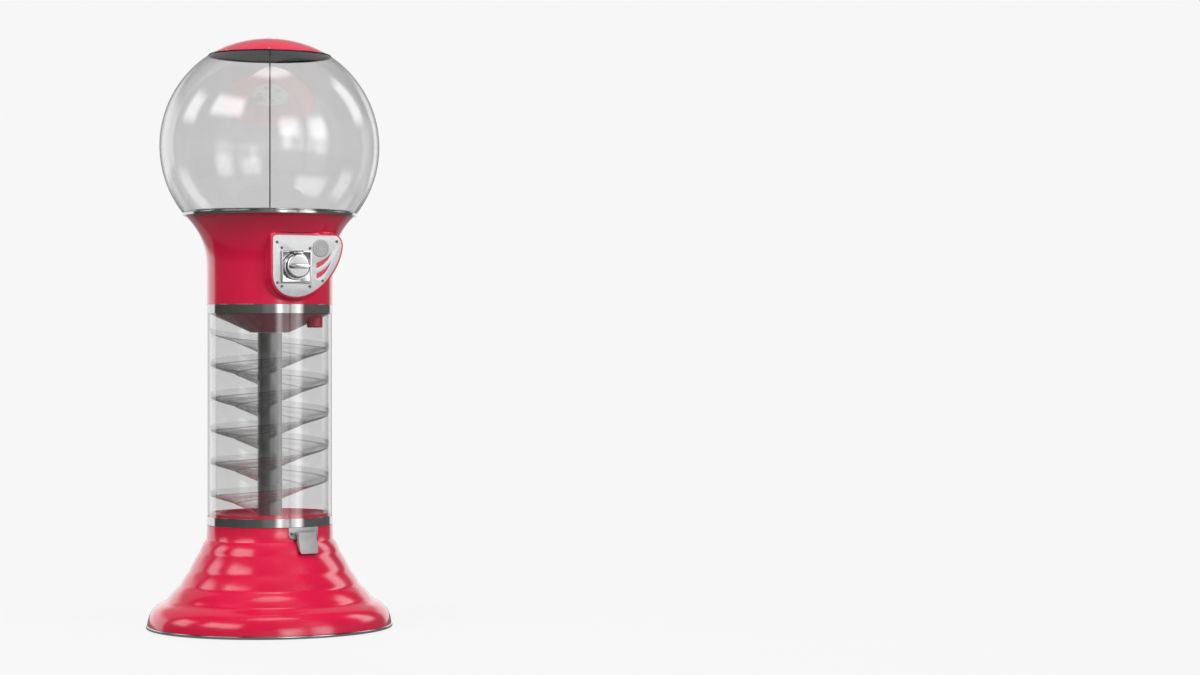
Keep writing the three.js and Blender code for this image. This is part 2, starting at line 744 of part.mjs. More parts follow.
function addHopper() {
  const outer = arcByHeight(flareCentreR, flareFoot, HOPPER_FLARE_R, -1, flareFoot, flareTop, 6);
  const innerR = HOPPER_FLARE_R + SHELL_WALL;
  const inner = arcByHeight(flareCentreR, flareFoot, innerR, -1, flareFoot, flareTop + 5, 6);
  const skin = turned([[0, hopperFoot], [COLUMN_R, hopperFoot], ...outer, [0, flareTop]]);
  const hollow = turned([
    [0, hopperFoot + SHELL_WALL],
    [COLUMN_R - SHELL_WALL, hopperFoot + SHELL_WALL],
    ...inner,
    [0, flareTop + 5],
  ]);
  const outline = panelOutline();
  const behind = (margin) => shapeOf(widened(outline, margin));
  const wallBack = faceR - SHELL_WALL;
  const full = join(
    cut(skin, facing(behind(BOSS_MARGIN), faceR, faceR + 80)),
    facing(behind(BOSS_MARGIN), COLUMN_R * 0.2, faceR),
  );
  const inside = join(
    cut(hollow, facing(behind(BOSS_MARGIN + SHELL_WALL), wallBack, faceR + 80)),
    facing(behind(BOSS_MARGIN - SHELL_WALL), 0, wallBack),
  );
  const holes = panelScrews.map(([x, z]) => screwHole(x, coinZ + z, wallBack - 5, faceR + 5));
  const window_ = block(
    -HOUSING_HALF - 6,
    HOUSING_HALF + 6,
    wallBack - 5,
    faceR + 5,
    coinZ - 54,
    coinZ + 50,
  );
  const well = disc(seatR, hopperFoot - 5, hopperFoot + SHELL_WALL + 1);
  piece("hopper_shell", cut(full, inside, well, window_, ...holes), redPaint);
}

function addTray() {
  const floorFoot = trayFloorTop - TRAY_WALL;
  const rimR = HOPPER_TOP_R;
  const bowlR = rimR - 7.5;
  const bowl = turned([
    [rimR, trayRimZ],
    [rimR, trayRimZ + TRAY_WALL - 0.7],
    [bowlR, trayRimZ + TRAY_WALL - 0.7],
    [trayWellR, trayWellTop],
    [trayWellR, trayFloorTop],
    [BUSH_R + PLAY, trayFloorTop],
    [BUSH_R + PLAY, floorFoot],
    [trayWellR + TRAY_WALL, floorFoot],
    [trayWellR + TRAY_WALL, trayWellTop - 1],
    [bowlR - 1, trayRimZ - 2],
    [bowlR + 1, trayRimZ],
  ]);
  const outlet = upright(POCKET_R + 0.5, 0, POCKET_CIRCLE, floorFoot - 5, trayFloorTop + 5, 20);
  const pinionSlot = block(
    -PINION_R - 6,
    PINION_R + 6,
    CROWN_R - CROWN_WIDTH / 2 - 3,
    CROWN_R + CROWN_WIDTH / 2 + 3,
    floorFoot - 5,
    trayFloorTop + 5,
  );
  piece("hopper_tray", cut(bowl, outlet.rotateZ(DROP_TURN), pinionSlot), redPaint);
}

// ---------------------------------------------------------------- product wheel
const crownHalf = { root: 3.7, pitch: 2.1, tip: 1.0 };

function addWheel() {
  const bore = BUSH_R + PLAY;
  const rim = CROWN_R - CROWN_WIDTH / 2;
  const body = turned(
    [
      [bore, crownTipZ],
      [rim - 2, crownTipZ],
      [rim - 2, crownRootZ],
      [wheelR, crownRootZ],
      [wheelR, wheelTop],
      [40, wheelTop],
      [20, wheelTop + WHEEL_HUB_RISE],
      [bore, wheelTop + WHEEL_HUB_RISE],
    ],
    CROWN_TEETH / 2,
  );
  const tooth = shapeOf([
    [-crownHalf.root, crownRootZ + 1],
    [-crownHalf.root, crownRootZ],
    [-crownHalf.pitch, crownPitchZ],
    [-crownHalf.tip, crownTipZ],
    [crownHalf.tip, crownTipZ],
    [crownHalf.pitch, crownPitchZ],
    [crownHalf.root, crownRootZ],
    [crownHalf.root, crownRootZ + 1],
  ]);
  const teeth = [];
  for (let i = 0; i < CROWN_TEETH; i++) {
    const turn = ((i + 0.5) * 2 * Math.PI) / CROWN_TEETH;
    teeth.push(facing(tooth, rim, rim + CROWN_WIDTH).rotateZ(turn));
  }
  const pockets = [];
  for (let i = 0; i < WHEEL_POCKETS; i++) {
    const turn = DROP_TURN + ((i + 0.5) * 2 * Math.PI) / WHEEL_POCKETS;
    pockets.push(
      upright(POCKET_R, 0, POCKET_CIRCLE, crownTipZ - 5, wheelTop + 5, 20).rotateZ(turn),
    );
  }
  piece("product_wheel", cut(join(body, ...teeth), ...pockets), whitePlastic);

  const flangeTop = trayFloorTop - TRAY_WALL - GAP;
  piece(
    "wheel_bush",
    turned(
      [
        [ROD_R + GAP, flangeTop - 3],
        [BUSH_R + 5, flangeTop - 3],
        [BUSH_R + 5, flangeTop],
        [BUSH_R, flangeTop],
        [BUSH_R, wheelTop + WHEEL_HUB_RISE + 4],
        [ROD_R + GAP, wheelTop + WHEEL_HUB_RISE + 4],
      ],
      24,
    ),
    brass,
  );

  // The sweeper covers the outlet so that only the pocket's own ball drops.
  const slope = (trayRimZ + TRAY_WALL - 0.7 - trayWellTop) / (HOPPER_TOP_R - 7.5 - trayWellR);
  const low = wheelTop + 2.5;
  const reach = 22;
  const sweeper = sideways(
    shapeOf([
      [POCKET_CIRCLE - POCKET_R - 2, low],
      [trayWellR - 4, low],
      [trayWellR - 4, trayWellTop - 2],
      [trayWellR - 1, trayWellTop + 1.8],
      [trayWellR + reach, trayWellTop + reach * slope + 2],
      [trayWellR + reach, trayWellTop + reach * slope + 6],
      [trayWellR - 20, trayWellTop + 10],
      [POCKET_CIRCLE - POCKET_R - 2, low + 12],
    ]),
    2 * POCKET_R + 2,
  );
  piece("sweeper_brush", sweeper.rotateZ(DROP_TURN), blackPlastic);
}

// ---------------------------------------------------------------- face panel
function addPanel() {
  const outline = shapeOf(panelOutline());
  const swoosh = (low, tipX, tipZ) => {
    const slot = new THREE.Shape();
    slot.moveTo(53, low);
    slot.quadraticCurveTo(74, low + 8, tipX, tipZ);
    slot.quadraticCurveTo(72, low + 21, 53, low + 12.5);
    return facing(slot, panelBack - 5, panelFront + 5);
  };
  const holes = [...panelScrews, ...housingScrews].map(([x, z]) =>
    screwHole(x, coinZ + z, panelBack - 5, panelFront + 5),
  );
  const panel = cut(
    facing(outline, panelBack, panelFront),
    bar(DIAL_FRONT_R, 0, coinZ, panelBack - 5, panelFront + 5, 32),
    swoosh(coinZ - 4, 91.4, coinZ + 32.6),
    swoosh(coinZ - 29, 90.6, coinZ + 13.7),
    ...holes,
  );
  piece("face_panel", panel, aluminium);
  piece(
    "price_badge",
    bar(BADGE_R, 63.7, coinZ + 44, panelFront + GAP, panelFront + GAP + 1.2, 32),
    aluminium,
  );
  panelScrews.forEach(([x, z], i) => {
    piece("panel_screw_" + (i + 1), screw(x, coinZ + z, panelFront + GAP), steel);
  });
  housingScrews.forEach(([x, z], i) => {
    piece("housing_screw_" + (i + 1), screw(x, coinZ + z, panelFront + GAP), steel);
  });
}

// ---------------------------------------------------------------- coin mechanism
function gearOutline(teeth, corners) {
  const points = [];
  for (let i = 0; i < teeth; i++) {
    const centre = Math.PI / 2 - (i * 2 * Math.PI) / teeth;
    for (const [r, half] of corners) {
      const angle = centre - Math.asin(half / r);
      points.push([r * Math.cos(angle), r * Math.sin(angle)]);
    }
  }
  return points.map(([x, z]) => [x, z + coinZ]);
}

function addCoinMechanism() {
  const bezelZ = coinZ - BEZEL_DROP;
  const bezelFront = bezelBack + BEZEL_DEPTH;
  const floorFront = bezelBack + BEZEL_FLOOR;
  const inner = BEZEL_HALF - BEZEL_BORDER;
  const dialBack = floorFront + GAP;
  const dialFront = dialBack + DIAL_DEPTH;
  const slotBlock = block(
    -13,
    13,
    dialBack + DIAL_FLANGE + 0.5,
    dialFront,
    coinZ + DIAL_FRONT_R + 0.8,
    bezelZ + BEZEL_HALF,
  );
  const slotRoot = block(
    -13,
    13,
    bezelFront - 1,
    dialFront,
    bezelZ + inner + 0.5,
    bezelZ + BEZEL_HALF,
  );
  const coinSlot = block(
    -11,
    11,
    dialBack + DIAL_FLANGE + 4,
    dialBack + DIAL_FLANGE + 6.4,
    coinZ + DIAL_FRONT_R - 5,
    bezelZ + BEZEL_HALF + 5,
  );
  const bezel = cut(
    join(
      cut(
        block(
          -BEZEL_HALF,
          BEZEL_HALF,
          bezelBack,
          bezelFront,
          bezelZ - BEZEL_HALF,
          bezelZ + BEZEL_HALF,
        ),
        block(-inner, inner, floorFront, bezelFront + 5, bezelZ - inner, bezelZ + inner),
      ),
      slotBlock,
      slotRoot,
    ),
    coinSlot,
    bar(SHAFT_R + PLAY, 0, coinZ, bezelBack - 5, bezelFront + 5),
  );
  piece("coin_bezel", bezel, chrome);

  const grip = shapeOf([
    [-GRIP_LENGTH / 2, coinZ],
    [-GRIP_LENGTH / 3.2, coinZ - GRIP_THICKNESS / 2],
    [GRIP_LENGTH / 3.2, coinZ - GRIP_THICKNESS / 2],
    [GRIP_LENGTH / 2, coinZ],
    [GRIP_LENGTH / 3.2, coinZ + GRIP_THICKNESS / 2],
    [-GRIP_LENGTH / 3.2, coinZ + GRIP_THICKNESS / 2],
  ]);
  const handle = cut(
    join(
      bar(DIAL_R, 0, coinZ, dialBack, dialBack + DIAL_FLANGE, ROUND),
      bar(DIAL_FRONT_R, 0, coinZ, dialBack, dialFront, ROUND),
      facing(grip, dialFront - 1, dialFront + GRIP_DEPTH),
    ),
    bar(SHAFT_R + GAP, 0, coinZ, dialBack - 5, dialFront - 2),
  );
  piece("coin_handle", handle, chrome);

  const pinionIn = CROWN_R - PINION_WIDTH / 2;
  piece("coin_shaft", bar(SHAFT_R, 0, coinZ, pinionIn - 6, dialFront - 2 - GAP), steel);
  const shaftBore = (from, to, clearance) =>
    bar(SHAFT_R + clearance, 0, coinZ, from - 5, to + 5);
  const pinion = cut(
    facing(
      shapeOf(
        gearOutline(PINION_TEETH, [
          [9.8, -2.3],
          [PINION_R, -2],
          [PINION_R + TOOTH_OUT - 0.2, -0.8],
          [PINION_R + TOOTH_OUT - 0.2, 0.8],
          [PINION_R, 2],
          [9.8, 2.3],
        ]),
      ),
      pinionIn,
      pinionIn + PINION_WIDTH,
    ),
    shaftBore(pinionIn, pinionIn + PINION_WIDTH, GAP),
  );
  piece("drive_pinion", pinion, brass);

  // Housing behind the panel, with its flange in the boss's window.
  const flangeFront = faceR - 0.1;
  const flangeBack = faceR - SHELL_WALL + 0.2;
  const houseBack = flangeBack - HOUSING_DEPTH;
  const bodyLow = coinZ - HOUSING_HALF - 2;
  const bodyHigh = coinZ + HOUSING_HALF;
  const cavityHalf = HOUSING_HALF - HOUSING_WALL;
  const housing = cut(
    join(
      block(-HOUSING_HALF, HOUSING_HALF, houseBack, flangeFront, bodyLow, bodyHigh),
      block(
        -HOUSING_HALF - 4.5,
        HOUSING_HALF + 4.5,
        flangeBack,
        flangeFront,
        coinZ - 52.5,
        coinZ + 48.5,
      ),
    ),
    block(
      -cavityHalf,
      cavityHalf,
      houseBack + HOUSING_WALL,
      flangeFront + 5,
      bodyLow + HOUSING_WALL,
      bodyHigh - HOUSING_WALL,
    ),
    block(-16, 16, houseBack + 10, flangeBack - 4, bodyLow - 5, bodyLow + 5),
    shaftBore(houseBack, houseBack + HOUSING_WALL, PLAY),
    ...housingScrews.map(([x, z]) => screwHole(x, coinZ + z, flangeBack - 5, flangeFront + 5)),
  );
  piece("coin_housing", housing, zincPlate);

  const ratchetBack = houseBack + 22;
  const ratchetFront = ratchetBack + RATCHET_WIDTH;
  const ratchet = cut(
    facing(
      shapeOf(gearOutline(RATCHET_TEETH, [[RATCHET_R - 4, -2.5], [RATCHET_R, 0]])),
      ratchetBack,
      ratchetFront,
    ),
    shaftBore(ratchetBack, ratchetFront, GAP),
  );
  piece("ratchet_wheel", ratchet, steel);

  const pinX = -24;
  const pinZ = coinZ + RATCHET_R + 4.4;
  const low = coinZ + RATCHET_R + 0.6;
  const pawl = cut(
    facing(
      shapeOf([
        [pinX - 4, low],
        [2, low],
        [2, low + 2.5],
        [pinX + 4, pinZ + 4],
        [pinX - 4, pinZ + 4],
      ]),
      ratchetBack,
      ratchetFront,
    ),
    bar(PAWL_PIN_R + GAP, pinX, pinZ, ratchetBack - 5, ratchetFront + 5, 12),
  );
  piece("ratchet_pawl", pawl, steel);
  const pawlPin = bar(
    PAWL_PIN_R,
    pinX,
    pinZ,
    houseBack + HOUSING_WALL + GAP,
    ratchetFront + 4,
    12,
  );
  piece("pawl_pin", pawlPin, steel);
}

// ---------------------------------------------------------------- globe, rod and lid
function addGlobe() {
  const rimR = HOPPER_TOP_R + PLAY;
  const edgeR = GLOBE_FOOT_R + PLAY;
  const innerR = HOPPER_TOP_R - 6;
  const bore = GLOBE_FOOT_R - GLOBE_WALL - 4;
  piece(
    "globe_ring",
    turned([
      [innerR, ringFoot],
      [rimR, ringFoot],
      [rimR, trayRimZ - RING_SKIRT],
      [edgeR - 1.2, trayRimZ - RING_SKIRT],
      [edgeR, trayRimZ - RING_SKIRT + 1.4],
      [edgeR, ringTop - 1.2],
      [edgeR - 1.2, ringTop],
      [bore, ringTop],
      [bore, ringTop + RING_UPSTAND],
      [innerR, ringTop + RING_UPSTAND],
    ]),
    chrome,
  );
  const outer = arcByAngle(GLOBE_R);
  const inner = arcByAngle(GLOBE_R - GLOBE_WALL).reverse();
  piece("globe", turned([...outer, ...inner]), clearPlastic);

  const rodFoot = 0.6;
  piece("center_rod", disc(ROD_R, rodFoot, lidTop - 16, 12), steel);
  const nut = cut(disc(6, 0.8, FOOT_HEIGHT - 0.2, 6), disc(ROD_R + GAP, -5, FOOT_HEIGHT + 5, 12));
  piece("rod_nut", nut, steel);
}

// A globe surface of the given radius between the foot and the mouth, in [radius, height].
function arcByAngle(r) {
  const start = Math.asin((globeFoot - globeZ) / r);
  const end = Math.asin((globeTop - globeZ) / r);
  const points = [];
  const count = 12;
  for (let i = 0; i <= count; i++) {
    const angle = start + ((end - start) * i) / count;
    points.push([r * Math.cos(angle), globeZ + r * Math.sin(angle)]);
  }
  return points;
}

function addLid() {
  const gasketInner = GLOBE_MOUTH_R - 10;
  piece("lid_gasket", hoop(gasketInner, GLOBE_MOUTH_R - 1, globeTop + GAP, gasketTop), blackRubber);
  piece("lid_liner", hoop(ROD_R + 0.6, lidR, linerFoot, linerFoot + LINER_SHEET), chrome);
  const centreZ = lidTop - lidSphereR;
  const cap = (r, low) => {
    const points = [];
    const start = Math.asin((low - centreZ) / r);
    for (let i = 0; i < 5; i++) {
      const angle = start + ((Math.PI / 2 - start) * i) / 5;
      points.push([r * Math.cos(angle), centreZ + r * Math.sin(angle)]);
    }
    return turned([...points, [0, centreZ + r], [0, low]]);
  };
  const shell = cut(
    cap(lidSphereR, lidFoot),
    cap(lidSphereR - LID_WALL, lidFoot - 5),
    disc(LOCK_R + PLAY, lidTop - 30, lidTop + 5, 24),
  );
  piece("lid_dome", shell, redPaint);

  const flangeTop = lidTop - LID_WALL - 1.2;
  const barrelTop = lidTop + 0.4;
  const webTop = lidTop - 10;
  const barrel = cut(
    turned(
      [
        [0, lidTop - 28],
        [LOCK_R, lidTop - 28],
        [LOCK_R, flangeTop - 2.5],
        [LOCK_R + 4, flangeTop - 2.5],
        [LOCK_R + 4, flangeTop],
        [LOCK_R, flangeTop],
        [LOCK_R, barrelTop],
        [0, barrelTop],
      ],
      24,
    ),
    disc(ROD_R + 1, lidTop - 33, lidTop - 12, 16),
    disc(PLUG_R + GAP, webTop, barrelTop + 5, 24),
  );
  piece("lock_barrel", barrel, chrome);
  const keyway = block(-0.8, 0.8, -3.5, 3.5, lidTop - 5, lidTop + 5);
  piece("lock_plug", cut(disc(PLUG_R, webTop + GAP, barrelTop, 24), keyway), brass);
}

addBase();
addDeck();
addChute();
addDoor();
addColumn();
addRamp();
addDrop();
addHopper();
addTray();
addWheel();
addPanel();
addCoinMechanism();
addGlobe();
addLid();

export default machine;
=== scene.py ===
"""Looks of the spiral gumball machine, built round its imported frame.

Metres, +Z up, the coin mechanism faces -Y. Places come from the frame's own boxes.
"""

import json
import math

import bmesh
import bpy
import numpy as np
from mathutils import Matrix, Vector


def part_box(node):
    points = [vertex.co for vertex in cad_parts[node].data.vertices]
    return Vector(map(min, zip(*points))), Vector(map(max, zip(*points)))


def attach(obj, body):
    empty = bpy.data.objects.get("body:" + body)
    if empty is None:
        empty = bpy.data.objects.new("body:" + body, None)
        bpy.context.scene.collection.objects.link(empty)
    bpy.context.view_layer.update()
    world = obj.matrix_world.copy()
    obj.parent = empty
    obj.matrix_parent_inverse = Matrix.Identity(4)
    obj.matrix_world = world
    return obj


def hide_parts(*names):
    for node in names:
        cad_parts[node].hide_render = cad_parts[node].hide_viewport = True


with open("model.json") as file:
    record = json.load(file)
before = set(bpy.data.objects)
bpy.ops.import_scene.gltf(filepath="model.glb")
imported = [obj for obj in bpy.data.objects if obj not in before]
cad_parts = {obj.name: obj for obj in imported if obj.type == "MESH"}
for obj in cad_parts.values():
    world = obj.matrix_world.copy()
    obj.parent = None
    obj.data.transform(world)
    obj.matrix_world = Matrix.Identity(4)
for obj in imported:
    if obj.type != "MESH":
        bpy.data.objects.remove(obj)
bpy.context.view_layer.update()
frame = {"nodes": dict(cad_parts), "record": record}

MM = 0.001
FINE = 192  # sides of a large round piece
FINEST = 256  # sides of the widest ones
GAP = 0.3 * MM  # between pieces that meet
BAND_PROUD = 0.5 * MM  # how far the bands stand out from the column
STUDIO_AZIMUTH = -21.5  # where the photographer stands, in degrees from the front
DOOR_TURN = math.radians(10.5)  # the prize door, from the front
DOOR_HALF = 41 * MM  # half the width of its frame
DROP_TURN = math.radians(52)  # the drop from the tray to the ramp, from the front


# ---- places from the frame
def span(node, axis):
    low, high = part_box(node)
    return low[axis], high[axis]


def top_of(node):
    return span(node, 2)[1]


def foot_of(node):
    return span(node, 2)[0]


def radius_of(node):
    return span(node, 0)[1]


def nodes_named(start):
    return sorted(name for name in frame["nodes"] if name.startswith(start))


coin_z = sum(span("coin_shaft", 2)) / 2
face_y = span("face_panel", 1)[1] + GAP  # the boss face behind the panel
panel_y = span("face_panel", 1)[0]
neck_r = radius_of("lower_band") - BAND_PROUD


# ---- mesh helpers
def add_mesh(name, points, faces, looks, smooth=True):
    mesh = bpy.data.meshes.new(name)
    mesh.from_pydata([tuple(p) for p in points], [], faces)
    mesh.validate()
    mesh.materials.append(looks)
    obj = bpy.data.objects.new(name, mesh)
    bpy.context.scene.collection.objects.link(obj)
    if smooth:
        mesh.shade_smooth()
    return obj


def apply_modifiers(obj):
    graph = bpy.context.evaluated_depsgraph_get()
    mesh = bpy.data.meshes.new_from_object(obj.evaluated_get(graph))
    old = obj.data
    obj.modifiers.clear()
    obj.data = mesh
    bpy.data.meshes.remove(old)


def crisp(obj, angle):
    """Smooth shading that keeps edges sharper than the angle."""
    obj.data.set_sharp_from_angle(angle=math.radians(angle))
    return obj


def bevelled(obj, width, segments=3, angle=40):
    bevel = obj.modifiers.new("edge", "BEVEL")
    bevel.width = width
    bevel.segments = segments
    bevel.limit_method = "ANGLE"
    bevel.angle_limit = math.radians(angle)
    bevel.harden_normals = False
    apply_modifiers(obj)
    obj.data.shade_smooth()
    return crisp(obj, 25)


def cut_away(obj, *tools, operation="DIFFERENCE"):
    """Cuts the tools out of the piece, or keeps what they share with it, and removes them."""
    for tool in tools:
        boolean = obj.modifiers.new("cut", "BOOLEAN")
        boolean.operation = operation
        boolean.solver = "EXACT"
        boolean.object = tool
        apply_modifiers(obj)
        bpy.data.objects.remove(tool)
    return obj


def joined(name, parts):
    """One object out of several, with every part's material kept."""
    mesh = bpy.data.meshes.new(name)
    work = bmesh.new()
    looks = []
    for part in parts:
        start = len(work.faces)
        part.data.transform(part.matrix_world)
        work.from_mesh(part.data)
        work.faces.ensure_lookup_table()
        names = list(part.data.materials)
        for material in names:
            if material not in looks:
                looks.append(material)
        for face in work.faces[start:]:
            face.material_index = looks.index(names[face.material_index])
        bpy.data.objects.remove(part)
    work.to_mesh(mesh)
    work.free()
    for material in looks:
        mesh.materials.append(material)
    obj = bpy.data.objects.new(name, mesh)
    bpy.context.scene.collection.objects.link(obj)
    return obj


def turned(name, profile, looks, sides=FINE, centre=(0, 0)):
    """A closed [radius, height] outline turned about the vertical through the centre."""
    profile = list(profile)
    area = sum(a[0] * b[1] - b[0] * a[1] for a, b in zip(profile, profile[1:] + profile[:1]))
    if area < 0:
        profile.reverse()
    points = []
    faces = []
    rings = []
    for r, z in profile:
        if r < 1e-6:
            rings.append([len(points)])
            points.append((centre[0], centre[1], z))
            continue
        rings.append(list(range(len(points), len(points) + sides)))
        for i in range(sides):
            a = 2 * math.pi * i / sides
            points.append((centre[0] + r * math.cos(a), centre[1] + r * math.sin(a), z))
    for lower, upper in zip(rings, rings[1:] + rings[:1]):
        if len(lower) == 1 and len(upper) == 1:
            continue
        for i in range(sides):
            j = (i + 1) % sides
            quad = [lower[i % len(lower)], lower[j % len(lower)]]
            quad += [upper[j % len(upper)], upper[i % len(upper)]]
            faces.append(list(dict.fromkeys(quad)))
    return crisp(add_mesh(name, points, faces, looks), 32)


def posed(obj, rotation, location=(0, 0, 0)):
    obj.rotation_euler = rotation
    obj.location = location
    bpy.context.view_layer.update()
    return obj


def moved(obj, rotation, location=(0, 0, 0)):
    """The piece turned and moved, with its mesh carrying the change."""
    obj.data.transform(posed(obj, rotation, location).matrix_world)
    return posed(obj, (0, 0, 0))


def facing_disc(name, profile, looks, location, sides=96):
    """A turned piece whose axis points forward, so heights become distances out."""
    return posed(turned(name, profile, looks, sides), (math.pi / 2, 0, 0), location)


def hoop(inner, outer, low, high):
    return [(inner, low), (outer, low), (outer, high), (inner, high)]


def cutter(name, r, low, high, out, turn):
    """A round tool that stands out from the axis, in a direction counted from the front."""
    centre = (out * math.sin(turn), -out * math.cos(turn))
    return turned(name, hoop(0, r, low, high), red_enamel, 48, centre)


def rounded(profile, radius, steps=4):
    """A closed outline with short curves for corners.

    A point on the straight beside each curve keeps the flat face's shading flat.
    """
    out = []
    for i, corner in enumerate(profile):
        p = Vector(corner)
        a = Vector(profile[i - 1])
        b = Vector(profile[(i + 1) % len(profile)])
        if p.x < 1e-6:
            out.append(p)
            continue
        to_a = a - p
        to_b = b - p
        reach = min(radius, to_a.length * 0.45, to_b.length * 0.45)
        start = p + to_a.normalized() * reach
        end = p + to_b.normalized() * reach
        out.append(p + to_a.normalized() * min(reach * 1.5, to_a.length * 0.48))
        for k in range(steps + 1):
            t = k / steps
            out.append(start * (1 - t) ** 2 + p * 2 * t * (1 - t) + end * t**2)
        out.append(p + to_b.normalized() * min(reach * 1.5, to_b.length * 0.48))
    return out


def prism(name, outline, near, far, looks, edge=0.0):
    """An outline in x and z that fills the space between two distances out, towards -Y."""
    count = len(outline)
    points = [(x, -near, z) for x, z in outline] + [(x, -far, z) for x, z in outline]
    faces = [list(range(count)), list(range(2 * count - 1, count - 1, -1))]
    for i in range(count):
        j = (i + 1) % count
        faces.append([i, i + count, j + count, j])
    obj = add_mesh(name, points, faces, looks, smooth=False)
    fix_normals(obj)
    if edge:
        bevelled(obj, edge)
    return obj


def fix_normals(obj):
    work = bmesh.new()
    work.from_mesh(obj.data)
    bmesh.ops.recalc_face_normals(work, faces=work.faces)
    work.to_mesh(obj.data)
    work.free()


def block(name, x0, x1, near, far, z0, z1, looks, edge=0.0):
    """A box between two distances out."""
    return prism(name, [(x0, z0), (x1, z0), (x1, z1), (x0, z1)], near, far, looks, edge)


def bezier(a, b, c, d, steps):
    """Points along a curve from a to d, without d itself."""
    points = []
    for k in range(steps):
        t = k / steps
        u = 1 - t
        shares = (u**3, 3 * u * u * t, 3 * u * t * t, t**3)
        points.append(tuple(sum(w * p[i] for w, p in zip(shares, (a, b, c, d))) for i in (0, 1)))
    return points


def place(obj, body, *nodes, slot=None):
    """The piece rides on its body and stands for its nodes, which it hides; slot is not used."""
    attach(obj, body)
    if nodes:
        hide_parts(*nodes)


# ---- materials
def new_material(name):
    material = bpy.data.materials.new(name)
    material.use_nodes = True
    tree = material.node_tree
    tree.nodes.clear()
    output = tree.nodes.new("ShaderNodeOutputMaterial")
    return material, tree, output


def add_node(tree, kind, **values):
    node = tree.nodes.new(kind)
    for key, value in values.items():
        if key in node.inputs:
            node.inputs[key].default_value = value
        else:
            setattr(node, key, value)
    return node


def math_node(tree, operation, a, b=None, c=None):
    """A Math node fed with numbers or with other nodes' outputs."""
    node = add_node(tree, "ShaderNodeMath", operation=operation)
    for socket, value in zip(node.inputs, (a, b, c)):
        if value is None:
            continue
        if isinstance(value, (int, float)):
            socket.default_value = value
        else:
            tree.links.new(value, socket)
    return node.outputs[0]


def noise(tree, scale, detail=4.0, stretch=(1, 1, 1)):
    coords = add_node(tree, "ShaderNodeTexCoord")
    mapping = add_node(tree, "ShaderNodeMapping")
    mapping.inputs["Scale"].default_value = stretch
    pattern = add_node(tree, "ShaderNodeTexNoise", Scale=scale, Detail=detail)
    tree.links.new(coords.outputs["Object"], mapping.inputs["Vector"])
    tree.links.new(mapping.outputs["Vector"], pattern.inputs["Vector"])
    return pattern.outputs["Fac"]


def ramp(tree, source, stops):
    node = add_node(tree, "ShaderNodeValToRGB")
    elements = node.color_ramp.elements
    while len(elements) < len(stops):
        elements.new(0.5)
    for element, (position, color) in zip(elements, stops):
        element.position = position
        element.color = (*color, 1)
    tree.links.new(source, node.inputs["Fac"])
    return node.outputs["Color"]


def grey(value):
    return (value, value, value)


def add_bump(tree, shader, height, distance):
    relief = add_node(tree, "ShaderNodeBump", Strength=1.0, Distance=distance)
    tree.links.new(height, relief.inputs["Height"])
    tree.links.new(relief.outputs["Normal"], shader.inputs["Normal"])


def surface(name, colors, rough, metallic=0.0, coat=0.0, bump=None, grain=(60.0, (1, 1, 1))):
    """A principled surface whose colour and roughness vary with a noise.

    bump is (scale, height), and grain is the noise's scale and its stretch along each axis.
    """
    material, tree, output = new_material(name)
    shader = add_node(tree, "ShaderNodeBsdfPrincipled")
    shader.inputs["Metallic"].default_value = metallic
    shader.inputs["Coat Weight"].default_value = coat
    shader.inputs["Coat Roughness"].default_value = 0.06
    pattern = noise(tree, grain[0], stretch=grain[1])
    tree.links.new(
        ramp(tree, pattern, [(0.3, colors[0]), (0.7, colors[1])]), shader.inputs["Base Color"]
    )
    tree.links.new(
        ramp(tree, pattern, [(0.25, grey(rough[0])), (0.75, grey(rough[1]))]),
        shader.inputs["Roughness"],
    )
    if bump:
        add_bump(tree, shader, noise(tree, bump[0], stretch=grain[1]), bump[1])
    tree.links.new(shader.outputs["BSDF"], output.inputs["Surface"])
    return material


